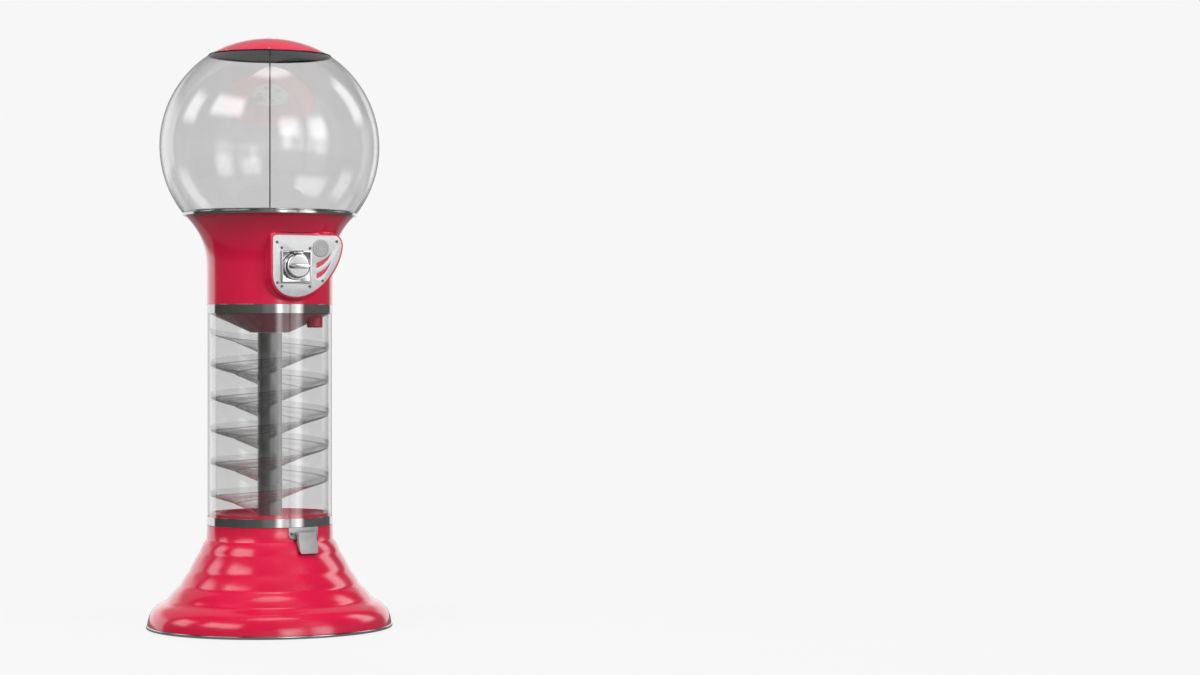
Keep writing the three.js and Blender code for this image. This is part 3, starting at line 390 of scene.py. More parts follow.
def clear(name, tint, edge_tint, gloss, rim=0.3, outline=None, haze=0.0, scratch=0.00002):
    """Thin clear plastic: tinted see-through, darker at grazing angles, with a glossy skin.

    gloss and rim are the skin's share seen straight on and at a slant. outline is the tint of
    the last few degrees, where a wall is seen edge on. Only the side towards the eye is glossy,
    as the other faces of so thin a wall would double each reflection.
    """
    material, tree, output = new_material(name)
    through = add_node(tree, "ShaderNodeBsdfTransparent")
    edge = add_node(tree, "ShaderNodeLayerWeight", Blend=0.5)
    tints = [(0.0, tint), (0.6, tint), (1.0, edge_tint)]
    shares = [
        (0.0, grey(gloss)),
        (0.5, grey(gloss * 1.1)),
        (0.62, grey(rim)),
        (0.82, grey(max(rim, 0.5))),
        (1.0, grey(0.95)),
    ]
    if outline:
        tints[-1:] = [(0.82, edge_tint), (0.88, grey(outline))]
        shares[-1:] = [(0.88, grey(0.15))]
    tree.links.new(ramp(tree, edge.outputs["Facing"], tints), through.inputs["Color"])
    skin = add_node(tree, "ShaderNodeBsdfPrincipled", Metallic=1.0, Roughness=0.04)
    skin.inputs["Base Color"].default_value = (0.93, 0.93, 0.93, 1)
    add_bump(tree, skin, noise(tree, 14.0, detail=2.0), scratch)
    share = ramp(tree, edge.outputs["Facing"], shares)
    sides = tree.nodes.new("ShaderNodeNewGeometry")
    front = math_node(tree, "SUBTRACT", 1.0, sides.outputs["Backfacing"])
    mixed = add_node(tree, "ShaderNodeMixShader")
    tree.links.new(math_node(tree, "MULTIPLY", share, front), mixed.inputs["Fac"])
    tree.links.new(through.outputs["BSDF"], mixed.inputs[1])
    tree.links.new(skin.outputs["BSDF"], mixed.inputs[2])
    last = mixed
    if haze:
        fog = add_node(tree, "ShaderNodeBsdfDiffuse", Color=(0.8, 0.8, 0.8, 1))
        last = add_node(tree, "ShaderNodeMixShader", Fac=haze)
        tree.links.new(mixed.outputs["Shader"], last.inputs[1])
        tree.links.new(fog.outputs["BSDF"], last.inputs[2])
    tree.links.new(last.outputs["Shader"], output.inputs["Surface"])
    return material


red_enamel = surface(
    "red_enamel",
    [(0.60, 0.008, 0.048), (0.66, 0.010, 0.056)],
    (0.16, 0.24),
    coat=1.0,
    bump=(420.0, 0.00003),
    grain=(9.0, (1, 1, 1)),
)
chrome = surface(
    "chrome", [grey(0.62), grey(0.70)], (0.05, 0.10), metallic=1.0, bump=(30.0, 0.00003)
)


def dull_mirror(name, levels, roughness):
    """Polished sheet that mirrors dimly at every angle."""
    material, tree, output = new_material(name)
    shader = add_node(tree, "ShaderNodeBsdfAnisotropic", Roughness=roughness)
    pattern = noise(tree, 40.0)
    stops = [(0.3, grey(levels[0])), (0.7, grey(levels[1]))]
    tree.links.new(ramp(tree, pattern, stops), shader.inputs["Color"])
    add_bump(tree, shader, noise(tree, 60.0), 0.00002)
    tree.links.new(shader.outputs["BSDF"], output.inputs["Surface"])
    return material


mirror_steel = dull_mirror("mirror_steel", (0.10, 0.13), 0.12)
brushed = surface(
    "brushed_steel",
    [grey(0.30), grey(0.42)],
    (0.28, 0.42),
    metallic=1.0,
    bump=(500.0, 0.00004),
    grain=(160.0, (1, 1, 0.04)),
)
spangle = surface(
    "spangled_aluminium",
    [(0.66, 0.66, 0.67), (0.76, 0.76, 0.77)],
    (0.34, 0.52),
    metallic=0.35,
    bump=(90.0, 0.00005),
    grain=(70.0, (1, 1, 1)),
)
cast = surface(
    "cast_aluminium",
    [(0.46, 0.46, 0.46), (0.54, 0.54, 0.54)],
    (0.36, 0.5),
    metallic=0.5,
    bump=(300.0, 0.00006),
)
zinc = surface(
    "zinc_plate", [(0.40, 0.41, 0.42), (0.52, 0.53, 0.54)], (0.3, 0.5), metallic=1.0,
    bump=(120.0, 0.00004),
)
iron = surface(
    "iron_plate", [(0.035, 0.035, 0.037), (0.06, 0.06, 0.062)], (0.6, 0.8), metallic=0.4,
    bump=(240.0, 0.0004),
)
brass = surface(
    "brass", [(0.55, 0.37, 0.12), (0.66, 0.46, 0.17)], (0.2, 0.34), metallic=1.0,
    bump=(200.0, 0.00004),
)
rubber = surface(
    "black_rubber", [grey(0.018), grey(0.032)], (0.6, 0.8), bump=(350.0, 0.0002)
)
white_plastic = surface(
    "white_plastic", [(0.66, 0.65, 0.61), (0.72, 0.71, 0.67)], (0.3, 0.42), bump=(200.0, 0.00008)
)
black_plastic = surface(
    "black_plastic", [grey(0.016), grey(0.028)], (0.35, 0.5), bump=(260.0, 0.0001)
)
screw_steel = surface(
    "screw_steel", [grey(0.22), grey(0.34)], (0.25, 0.4), metallic=1.0, bump=(300.0, 0.00004)
)
globe_clear = clear("globe_plastic", grey(0.955), grey(0.95), 0.17, outline=0.42)
tube_clear = clear("tube_plastic", grey(0.965), grey(0.95), 0.18, rim=0.36, outline=0.42)
ramp_clear = clear(
    "ramp_plastic", grey(0.955), grey(0.6), 0.05, rim=0.1, haze=0.02, scratch=0.0002
)
# The ramp's fold strips get a darker grey tint. This is painted shade for the darkening seen where
# clear sheet folds or is cut.
ramp_fold_shade = clear("ramp_fold_painted_shade", grey(0.6), grey(0.4), 0.08, rim=0.1, haze=0.02)


# ---- base
RIPPLES = [  # share of the drop, share of the spread, bulge before the next one in mm
    (0, 0, 2),
    (0.148, 0.114, 1.5),
    (0.359, 0.283, 1.5),
    (0.541, 0.444, 2.7),
    (0.727, 0.676, 13),
    (1, 1, 0),
]


def flare_outline(inset):
    """The rippled flare from the neck down to the foot, set in from the outside."""
    top = top_of("base_shell")
    low = foot_of("base_shell")
    start_r = neck_r + 1 * MM
    foot_r = radius_of("base_trim_ring") - 2.5 * MM
    neck_z = top - 34.3 * MM
    corners = [
        (start_r + out * (foot_r - start_r) - inset, neck_z - down * (neck_z - low))
        for down, out, _ in RIPPLES
    ]
    points = []
    for a, b, (_, _, bulge) in zip(corners, corners[1:], RIPPLES):
        along = Vector(b) - Vector(a)
        across = Vector((-along.y, along.x)) / along.length
        for k in range(14):
            t = k / 14
            points.append(Vector(a) + along * t + across * (4 * bulge * MM * t * (1 - t)))
    points.append(corners[-1])
    return soften(points, 2)


def soften(points, rounds):
    """Rounds the notches of an open outline a little, with its ends kept."""
    for _ in range(rounds):
        inner = [
            tuple((a[i] + 2 * b[i] + c[i]) / 4 for i in (0, 1))
            for a, b, c in zip(points, points[1:], points[2:])
        ]
        points = [points[0], *inner, points[-1]]
    return points


def make_base():
    top = top_of("base_shell")
    seat_r = radius_of("lower_band") - 15 * MM
    wall = 4 * MM
    outline = [
        (seat_r, top),
        (neck_r - 1 * MM, top),
        (neck_r, top - 1 * MM),
        *flare_outline(0),
        *reversed(flare_outline(wall)),
        (neck_r - wall, top - wall),
        (seat_r, top - wall),
    ]
    shell = turned("base_skin", outline, red_enamel, FINEST)
    doorway = block("doorway", -21.5 * MM, 21.5 * MM, neck_r * 0.6, neck_r + 40 * MM,
                    top - 62 * MM, top - 15 * MM, red_enamel)
    crisp(cut_away(shell, posed(doorway, (0, 0, DOOR_TURN))), 40)
    place(shell, "cabinet", "base_shell", slot="red_paint")

    low, high = span("base_trim_ring", 2)
    r = radius_of("base_trim_ring")
    foot = low + 2.5 * MM
    outline = [(r - 15 * MM, low), (r, low), (r, high), (r - 7.5 * MM, high),
               (r - 7.5 * MM, foot), (r - 15 * MM, foot)]
    ring = turned("trim_ring", rounded(outline, 2.6 * MM, 5), chrome, FINEST)
    place(ring, "cabinet", "base_trim_ring", slot="chrome_plate")


def make_deck():
    low = foot_of("base_deck")
    r = radius_of("base_deck")
    rim = top_of("base_deck") - low
    moat = 112 * MM  # the radius where gumballs gather
    upper = [
        (r, 0),
        (r, rim - 2 * MM),
        (r - 0.6 * MM, rim - 0.6 * MM),
        (r - 2 * MM, rim),
        (r - 4 * MM, rim - 0.8 * MM),
        (r - 9 * MM, rim - 6 * MM),
        (r - 18 * MM, rim - 13 * MM),
        (moat + 6 * MM, rim - 15.6 * MM),
        (moat - 6 * MM, rim - 15.6 * MM),
        (moat - 16 * MM, rim - 13 * MM),
        (60 * MM, rim - 10 * MM),
        (3.4 * MM, rim - 9 * MM),
    ]
    under = [(x, z - 2.5 * MM) for x, z in reversed(upper[6:])]
    outline = [*upper, *under, (r - 2.5 * MM, rim - 8 * MM), (r - 2.5 * MM, 0)]
    deck = turned("deck_pan", [(x, z + low) for x, z in outline], red_enamel)
    hole = cutter("ball_hole", 16 * MM, low - 10 * MM, low + 50 * MM, moat, DOOR_TURN)
    crisp(cut_away(deck, hole), 40)
    place(deck, "cabinet", "base_deck", slot="red_paint")


# ---- prize door
def apron(half, top, low, corner, pull, steps):
    """A plate in x and z with a straight top and rounded lower corners."""
    outline = [(-half, top), (-half, low + corner)]
    outline += bezier((-half, low + corner), (-half, low + pull), (-half + pull, low),
                      (-half + corner, low), steps)
    outline += bezier((half - corner, low), (half - pull, low), (half, low + pull),
                      (half, low + corner), steps)
    return [*outline, (half, low + corner), (half, top)]


def make_door():
    top = top_of("base_shell")
    inner = neck_r + 1.3 * MM
    outer = inner + 2.6 * MM
    low = top - 28 * MM
    outline = apron(DOOR_HALF, top, low, 14 * MM, 5 * MM, 8)
    sheet = turned("door_frame_skin", hoop(inner, outer, low - 2 * MM, top), cast, 360)
    plan = prism("plan", outline, neck_r * 0.6, neck_r * 1.2, cast)
    cut_away(sheet, plan, operation="INTERSECT")
    opening = block("opening", -22 * MM, 22 * MM, neck_r * 0.8, neck_r + 30 * MM, low - 10 * MM,
                    top - 15 * MM, cast)
    cut_away(sheet, opening)
    bevelled(sheet, 0.7 * MM, 2, 50)
    pin_z = top - 13.8 * MM
    pin_out = neck_r + 10.5 * MM
    ears = [
        block("ear", x0, x0 + 3 * MM, outer - 3.5 * MM, pin_out + 3.5 * MM, pin_z - 4 * MM,
              pin_z + 4 * MM, cast, 0.8 * MM)
        for x0 in (-29 * MM, 26 * MM)
    ]
    whole = moved(joined("door_frame_cast", [sheet, *ears]), (0, 0, DOOR_TURN))
    place(whole, "cabinet", "door_frame", slot="cast_aluminium")

    # The flap, drawn upright in front of the pin and then tilted.
    w = 25 * MM
    front = 4 * MM
    head = 2 * MM
    foot = head - 52 * MM
    face = apron(w, head, foot, 5 * MM, 2 * MM, 6)
    plate = prism("flap_face", face, front - 2 * MM, front, cast)
    bevelled(plate, 0.9 * MM, 3, 50)
    parts = [plate]
    for side in (-1, 1):
        x0, x1 = sorted((side * w, side * (w - 2 * MM)))
        shape = [(front - 9 * MM, head - 3 * MM), (front - 6 * MM, head), (front - 0.8 * MM, head),
                 (front - 0.8 * MM, foot + 5 * MM), (front - 6 * MM, foot + 8 * MM),
                 (front - 9 * MM, foot + 20 * MM)]
        points = [(x, -y, z) for x in (x0, x1) for y, z in shape]
        n = len(shape)
        faces = [list(range(n)), list(range(2 * n - 1, n - 1, -1))]
        faces += [[i, (i + 1) % n, (i + 1) % n + n, i + n] for i in range(n)]
        flange = add_mesh("flange", points, faces, cast, smooth=False)
        fix_normals(flange)
        parts.append(bevelled(flange, 0.4 * MM, 2))
    dome = [(0, 0.5 * MM), (1.2 * MM, 0.45 * MM), (1.7 * MM, -0.3 * MM), (0, -0.3 * MM)]
    for x in (-10 * MM, 0, 10 * MM):
        parts.append(facing_disc("stud", dome, cast, (x, -front, foot + 9 * MM), 20))
    flap = moved(joined("flap_pan", parts), (-math.radians(14), 0, 0), (0, -pin_out, pin_z))
    place(moved(flap, (0, 0, DOOR_TURN)), "door", "door_flap", slot="cast_aluminium")


# ---- bands, tube, post and ramp
def make_bands():
    """Each band is a thin wall round an end of the tube, with a flange turned in across it."""
    for node in ("lower_band", "upper_band"):
        low, high = span(node, 2)
        r = radius_of(node)
        seat_r = r - 15 * MM
        wall_r = r - 2.7 * MM
        seat, mouth = (low, high) if node == "lower_band" else (high, low)
        under = seat + math.copysign(3 * MM, mouth - seat)
        outline = [(seat_r, seat), (r, seat), (r, mouth), (wall_r, mouth), (wall_r, under),
                   (seat_r, under)]
        band = turned(node + "_skin", rounded(outline, 0.4 * MM, 2), chrome, FINEST)
        place(band, "cabinet", node, slot="chrome_plate")


def make_tube():
    low, high = span("clear_tube", 2)
    r = radius_of("clear_tube")
    outline = rounded(hoop(r - 3 * MM, r, low, high), 0.6 * MM, 2)
    tube = turned("tube_wall", outline, tube_clear, FINEST)
    place(tube, "cabinet", "clear_tube", slot="clear_tube")

    low, high = span("center_post", 2)
    r = radius_of("center_post")
    post = turned("post_skin", hoop(r - 2 * MM, r, low, high), brushed, 96)
    place(post, "cabinet", "center_post", slot="brushed_post")


RAMP_TURNS = 5.067
RAMP_PITCH = 79 * MM
RAMP_START = math.radians(158.5)  # where its upper end lies, counted from +X
# These strips take a darker tint, as painted shade.
FOLDS = (2, 5, 9, 19)  # narrow strips of the section: outer fold, crease and the two cut edges


def make_ramp():
    """The ramp's cross-section swept down round the post."""
    outer = radius_of("clear_tube") - 5.3 * MM
    inner = radius_of("center_post") + 1.2 * MM
    crease = 83 * MM
    head = top_of("clear_tube") - 69.6 * MM
    sheet = 2 * MM
    under = [
        (outer, 17 * MM),
        (outer - 0.2 * MM, 9 * MM),
        (outer - 1.0 * MM, 3.5 * MM),
        (outer - 5 * MM, 0.6 * MM),
        (outer - 30 * MM, -7.4 * MM),
        (crease + 3 * MM, -15.2 * MM),
        (crease - 2 * MM, -18.5 * MM),
        (crease - 25 * MM, -27 * MM),
        (inner + 3 * MM, -35.4 * MM),
        (inner, -35.0 * MM),
    ]
    upper = [(r - 0.35 * sheet, z + sheet) for r, z in under]
    upper[0] = (outer - sheet, 17 * MM)
    upper[1] = (outer - sheet, 9.5 * MM)
    upper[-1] = (inner, -33.0 * MM)
    section = [*under, *reversed(upper)]
    steps = 420
    n = len(section)
    points = []
    for k in range(steps + 1):
        angle = RAMP_TURNS * 2 * math.pi * k / steps
        heading = RAMP_START - angle
        drop = RAMP_PITCH * angle / (2 * math.pi)
        for r, z in section:
            points.append((r * math.cos(heading), r * math.sin(heading), head + z - drop))
    faces = []
    folds = []
    for k in range(steps):
        for i in range(n):
            j = (i + 1) % n
            faces.append([k * n + i, k * n + j, (k + 1) * n + j, (k + 1) * n + i])
            folds.append(i in FOLDS)
    faces.append(list(range(n)))
    faces.append(list(range((steps + 1) * n - 1, steps * n - 1, -1)))
    track = add_mesh("spiral_track", points, faces, ramp_clear)
    # The fold strips take the second, darker material: painted shade.
    track.data.materials.append(ramp_fold_shade)
    for polygon, fold in zip(track.data.polygons, folds):
        polygon.material_index = int(fold)
    fix_normals(track)
    crisp(track, 40)
    place(track, "cabinet", *nodes_named("spiral_ramp"), slot="clear_ramp")


# ---- hopper
def panel_outline(steps):
    """The face panel's outline in x and z, as the frame's panel has it."""
    left = -58.5 * MM
    right = 118 * MM
    top = coin_z + 74 * MM
    low = coin_z - 73 * MM
    outline = [(left, coin_z - 16 * MM), (left, coin_z + 20 * MM), (left, top - 12 * MM)]
    outline += bezier((left, top - 12 * MM), (left, top - 4 * MM), (left + 4 * MM, top),
                      (left + 12 * MM, top), steps)[1:]
    outline += [(left + 12 * MM, top), (0, top), (right - 20 * MM, top)]
    outline += bezier((right - 20 * MM, top), (right - 8 * MM, top), (right, top - 10 * MM),
                      (right, top - 25 * MM), steps)[1:]
    outline += bezier((right, top - 25 * MM), (right - 6 * MM, coin_z - 6 * MM),
                      (60 * MM, low + 3 * MM), (1.6 * MM, low), 2 * steps)
    outline += bezier((1.6 * MM, low), (-32 * MM, low), (left, low + 17 * MM),
                      (left, coin_z - 16 * MM), steps)
    return outline


def outline_distance(px, pz, outline):
    """Signed distance in x and z to a closed outline, negative inside."""
    best = np.full(px.shape, 1e9)
    inside = np.zeros(px.shape, bool)
    count = len(outline)
    for i in range(count):
        ax, az = outline[i]
        bx, bz = outline[(i + 1) % count]
        dx, dz = bx - ax, bz - az
        t = np.clip(((px - ax) * dx + (pz - az) * dz) / (dx * dx + dz * dz + 1e-18), 0, 1)
        best = np.minimum(best, (px - ax - t * dx) ** 2 + (pz - az - t * dz) ** 2)
        crosses = (az > pz) != (bz > pz)
        if abs(dz) > 1e-12:
            inside ^= crosses & (px < ax + dx * (pz - az) / dz)
    return np.where(inside, -1, 1) * np.sqrt(best)


def smooth_max(a, b, k):
    """The larger of two fields, blended where they differ by less than k."""
    h = np.clip(0.5 + 0.5 * (a - b) / k, 0, 1)
    return b * (1 - h) + a * h + k * h * (1 - h)


def smooth_min(a, b, k):
    return -smooth_max(-a, -b, k)


def hopper_radius(z):
    """The flared hopper's outer radius at a height."""
    column = radius_of("upper_band") - BAND_PROUD
    bend = 173 * MM
    foot = foot_of("hopper_shell") + 91 * MM
    rise = np.clip(z - foot, 0, None)
    return column + bend - np.sqrt(bend**2 - rise**2)


def make_hopper():
    """The painted shell as one skin: a flared column, a raised boss and its recess."""
    low, high = span("hopper_shell", 2)
    face = -face_y
    outline = panel_outline(8)
    fine = np.radians(np.arange(-40, 66, 0.45))
    coarse = np.radians(np.linspace(66, 320, 130, endpoint=False))
    angles = np.concatenate([fine, coarse])
    reach = 92 * MM  # how far the boss and its blend go up and down from the shaft
    heights = np.concatenate([
        np.linspace(low, coin_z - reach, 6, endpoint=False),
        np.arange(coin_z - reach, coin_z + reach, 1.15 * MM),
        np.linspace(coin_z + reach, high, 14),
    ])
    a, z = np.meshgrid(angles, heights)
    near = np.full(a.shape, 100 * MM)
    far = np.full(a.shape, 260 * MM)
    for _ in range(22):  # halves the bracket round the skin along each ray
        r = (near + far) / 2
        x = r * np.sin(a)
        out = r * np.cos(a)
        column = r - hopper_radius(z)
        edge = outline_distance(x, z, outline) - 5.5 * MM
        boss = smooth_max(edge, out - face, 5 * MM)
        boss = np.maximum(boss, face / 2 - out)
        whole = smooth_min(column, boss, 9 * MM)
        recess = smooth_max(edge - 1.0 * MM, face - out, 1.2 * MM)
        solid = smooth_max(whole, -recess, 2.0 * MM)
        far = np.where(solid > 0, r, far)
        near = np.where(solid > 0, near, r)
    r = (near + far) / 2
    rows, columns = a.shape
    outer = np.stack([r * np.sin(a), -r * np.cos(a), z], -1).reshape(-1, 3)
    back = np.minimum(r, hopper_radius(z)) - 3 * MM
    back = np.where(r > hopper_radius(z) + 1 * MM, hopper_radius(z) - 0.5 * MM, back)
    inner = np.stack([back * np.sin(a), -back * np.cos(a), z], -1).reshape(-1, 3)
    points = np.concatenate([outer, inner])
    base = rows * columns
    faces = []
    for i in range(rows - 1):
        for j in range(columns):
            k = (j + 1) % columns
            quad = (i * columns + j, i * columns + k, (i + 1) * columns + k, (i + 1) * columns + j)
            faces.append(quad)
            faces.append(tuple(base + q for q in reversed(quad)))
    for j in range(columns):
        k = (j + 1) % columns
        last = (rows - 1) * columns
        faces.append((k, j, base + j, base + k))
        faces.append((last + j, last + k, base + last + k, base + last + j))
    shell = add_mesh("hopper_skin", points, faces, red_enamel)
    fix_normals(shell)
    crisp(shell, 60)
    place(shell, "cabinet", "hopper_shell", slot="red_paint")


def make_tray():
    low, high = span("hopper_tray", 2)
    r = radius_of("hopper_tray")
    well = 98 * MM
    well_top = top_of("product_wheel") + 4 * MM
    floor = low + 2.5 * MM
    outline = [
        (r, high - 1.8 * MM),
        (r, high),
        (r - 7.5 * MM, high),
        (r - 9.5 * MM, high - 0.8 * MM),
        (well + 2 * MM, well_top + 1.6 * MM),
        (well, well_top - 1.5 * MM),
        (well, floor),
        (8.4 * MM, floor),
        (8.4 * MM, low),
        (well + 2.5 * MM, low),
        (well + 2.5 * MM, well_top - 1 * MM),
        (r - 8.5 * MM, high - 3.8 * MM),
        (r - 6.5 * MM, high - 1.8 * MM),
    ]
    tray = turned("tray_bowl", outline, red_enamel)
    below = low - 10 * MM
    above = floor + 10 * MM
    outlet = cutter("outlet", 15.5 * MM, below, above, 56 * MM, DROP_TURN)
    slot = block("slot", -20 * MM, 20 * MM, 75 * MM, 93 * MM, below, above, red_enamel)
    crisp(cut_away(tray, outlet, slot), 40)
    place(tray, "cabinet", "hopper_tray", slot="red_paint")


def make_funnel():
    low, high = span("drop_funnel", 2)
    floor = top_of("center_post") + GAP
    r = radius_of("drop_funnel")
    wall = 2.5 * MM
    spout_r = 19.5 * MM
    drop_r = 113 * MM
    outline = [
        (r, high),
        (r, high - 19.1 * MM),
        (46 * MM, floor),
        (3.4 * MM, floor),
        (3.4 * MM, floor + wall),
        (46 * MM, floor + wall),
        (r - wall, high - 17.6 * MM),
        (r - wall, high),
    ]
    funnel = turned("funnel_cone", rounded(outline, 1.5 * MM, 3), red_enamel)
    bore = cutter("bore", 15.2 * MM, low - 20 * MM, high, drop_r, DROP_TURN)
    crisp(cut_away(funnel, bore), 40)
    spout_top = high - 22 * MM
    mouth = high - 52.1 * MM
    outline = [
        (15 * MM, mouth),
        (16.5 * MM, mouth),
        (18.3 * MM, mouth + 0.8 * MM),
        (spout_r - 0.3 * MM, mouth + 2.4 * MM),
        (spout_r, mouth + 5 * MM),
        (spout_r, spout_top),
        (15 * MM, spout_top),
    ]
    centre = (drop_r * math.sin(DROP_TURN), -drop_r * math.cos(DROP_TURN))
    spout = turned("spout", outline, red_enamel, 64, centre)
    place(joined("funnel_skin", [funnel, spout]), "cabinet", "drop_funnel", slot="red_paint")


# ---- face panel and coin mechanism
def swoosh(low, tip):
    """One of the panel's slots: it starts upright at the left and sweeps up to a tip."""
    left = 53 * MM
    top = (left, low + 12.5 * MM)
    outline = bezier((left, low), (left + 14.07 * MM, low + 5.4 * MM), (80 * MM, low + 14 * MM),
                     tip, 10)
    outline += bezier(tip, (79 * MM, low + 24 * MM), (66 * MM, low + 17 * MM), top, 10)
    outline.append(top)
    return outline


# Places in mm, sideways and up from the coin shaft.
PANEL_SCREWS = [(-47.8, 57), (105.6, 60.7), (-47, -39.5), (68.5, -34)]
HOUSING_SCREWS = [(-36, 43.5), (36, 43.5), (-36, -48), (36, -48)]


def pan_screw(x, out, z, turn=0.0):
    """A pan-head screw with a cross slot, facing -Y."""
    head = turned(
        "head",
        [(0, 1.9 * MM), (1.2 * MM, 1.85 * MM), (2.3 * MM, 1.5 * MM), (3.0 * MM, 0.8 * MM),
         (3.2 * MM, 0), (1.6 * MM, 0), (1.6 * MM, -4 * MM), (0, -4 * MM)],
        screw_steel,
        28,
    )
    tools = []
    for angle in (0.4, 0.4 + math.pi / 2):
        bar = block("bar", -1.9 * MM, 1.9 * MM, -0.35 * MM, 0.35 * MM, 1 * MM, 3 * MM, screw_steel)
        tools.append(posed(bar, (0, 0, angle)))
    crisp(cut_away(head, *tools), 30)
    middle = (out * math.sin(turn) + x * math.cos(turn), -out * math.cos(turn), z)
    return posed(head, (math.pi / 2, 0, turn), middle)


def place_screws(name, start, heads):
    place(joined(name, heads), "cabinet", *nodes_named(start), slot="steel_fastener")


def make_panel():
    front = -panel_y
    back = front - 1.6 * MM
    panel = prism("panel", panel_outline(12), back, front, spangle)
    hole = hoop(0, 28.5 * MM, -10 * MM, 10 * MM)
    tools = [facing_disc("window", hole, spangle, (0, -front, coin_z), 64)]
    for low, tip in ((coin_z - 4 * MM, (91.4 * MM, coin_z + 32.6 * MM)),
                     (coin_z - 29 * MM, (90.6 * MM, coin_z + 13.7 * MM))):
        tools.append(prism("slot", swoosh(low, tip), back - 10 * MM, front + 10 * MM, spangle))
    cut_away(panel, *tools)
    bevelled(panel, 0.45 * MM, 2, 50)
    place(panel, "cabinet", "face_panel", slot="plate_aluminium")

    low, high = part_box("price_badge")
    r = (high.x - low.x) / 2
    thick = high.y - low.y
    rings = [(0, thick * 0.4), (4 * MM, thick * 0.4), (4.6 * MM, thick)]
    for groove_r in (8 * MM, 12 * MM, 16 * MM):
        rings += [(groove_r - 1.4 * MM, thick), (groove_r - 1.0 * MM, thick * 0.3)]
        rings += [(groove_r + 1.0 * MM, thick * 0.3), (groove_r + 1.4 * MM, thick)]
    rings += [(r - 1 * MM, thick), (r, thick * 0.6), (r, 0), (0, 0)]
    middle = ((low.x + high.x) / 2, high.y, (low.z + high.z) / 2)
    badge = joined("badge", [facing_disc("badge_disc", rings, cast, middle)])
    place(badge, "cabinet", "price_badge", slot="plate_aluminium")

    for name, start, places in (("panel_fixings", "panel_screw", PANEL_SCREWS),
                                ("housing_fixings", "housing_screw", HOUSING_SCREWS)):
        heads = [pan_screw(x * MM, front + GAP, coin_z + z * MM) for x, z in places]
        place_screws(name, start, heads)
    outer = neck_r + 3.9 * MM
    swing = math.asin((DOOR_HALF - 6 * MM) / outer)
    height = top_of("base_shell") - 14 * MM
    heads = [pan_screw(0, outer + GAP, height, DOOR_TURN + turn) for turn in (-swing, swing)]
    place_screws("door_fixings", "door_screw", heads)


def make_coin_mechanism():
    low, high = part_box("coin_bezel")
    back = -high.y
    front = back + 5.8 * MM
    half = high.x
    centre = (low.z + high.z) / 2
    inner = half - 3.5 * MM
    plate = block("plate", -half, half, back, front, centre - half, centre + half, chrome)
    pocket = block("pocket", -inner, inner, back + 2.8 * MM, front + 0.01, centre - inner,
                   centre + inner, chrome)
    hole = facing_disc("hole", hoop(0, 6.4 * MM, -0.3, 0.3), chrome, (0, 0, coin_z), 32)
    cut_away(plate, pocket, hole)
    bevelled(plate, 0.8 * MM, 3, 50)
    slot_front = -low.y
    root = block("root", -13 * MM, 13 * MM, front - 1 * MM, slot_front, centre + inner + 0.2 * MM,
                 centre + half, chrome)
    guide = block("guide", -13 * MM, 13 * MM, back + 7.4 * MM, slot_front,
                  coin_z + 29.3 * MM, centre + half, chrome)
    slit = block("slit", -11 * MM, 11 * MM, back + 10.8 * MM, back + 13.2 * MM,
                 coin_z + 20 * MM, centre + half + 5 * MM, chrome)
    cut_away(guide, slit)
    bevelled(guide, 0.7 * MM, 3, 50)
    bevelled(root, 0.7 * MM, 3, 50)
    whole = joined("bezel_casting", [plate, guide, root])
    place(whole, "cabinet", "coin_bezel", slot="chrome_plate")

    low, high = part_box("coin_handle")
    back = -high.y
    tip = -low.y
    r = high.x
    front_r = 28.5 * MM
    front = back + 15 * MM
    dial = facing_disc(
        "dial",
        [(0, back), (r - 0.6 * MM, back), (r, back + 0.7 * MM), (r, back + 2.8 * MM),
         (r - 0.8 * MM, back + 3.7 * MM), (front_r + 0.8 * MM, back + 3.9 * MM),
         (front_r, back + 5 * MM), (front_r, front - 1.8 * MM),
         (front_r - 0.6 * MM, front - 0.5 * MM), (front_r - 2 * MM, front),
         (front_r - 5 * MM, front + 0.1 * MM), (0, front + 0.4 * MM)],
        chrome,
        (0, 0, coin_z),
    )
    w = 25 * MM
    h = 6 * MM
    nose = 1.5 * MM
    outline = [(-w, -nose), (-w * 0.62, -h), (w * 0.62, -h), (w, -nose), (w, nose),
               (w * 0.62, h), (-w * 0.62, h), (-w, nose)]
    grip = prism("grip", [(x, z + coin_z) for x, z in outline], front - 1 * MM, tip, chrome)
    bevelled(grip, 2.2 * MM, 5, 30)
    handle = joined("handle_casting", [dial, grip])
    place(handle, "handle", "coin_handle", slot="chrome_plate")


# ---- globe and lid
GLOBE_R = 266 * MM
GLOBE_SEAT_R = 210.8 * MM  # where the globe stands on its ring
ROD_SHARE = 0.6  # of the CAD's radius, to look as thin as the real rod
LID_RIVETS = 8


def arc(r, centre, low, high, steps):
    """A ball's outline between two heights."""
    start = math.asin((low - centre) / r)
    end = math.asin(min((high - centre) / r, 1))
    angles = [start + (end - start) * k / steps for k in range(steps + 1)]
    return [(r * math.cos(t), centre + r * math.sin(t)) for t in angles]


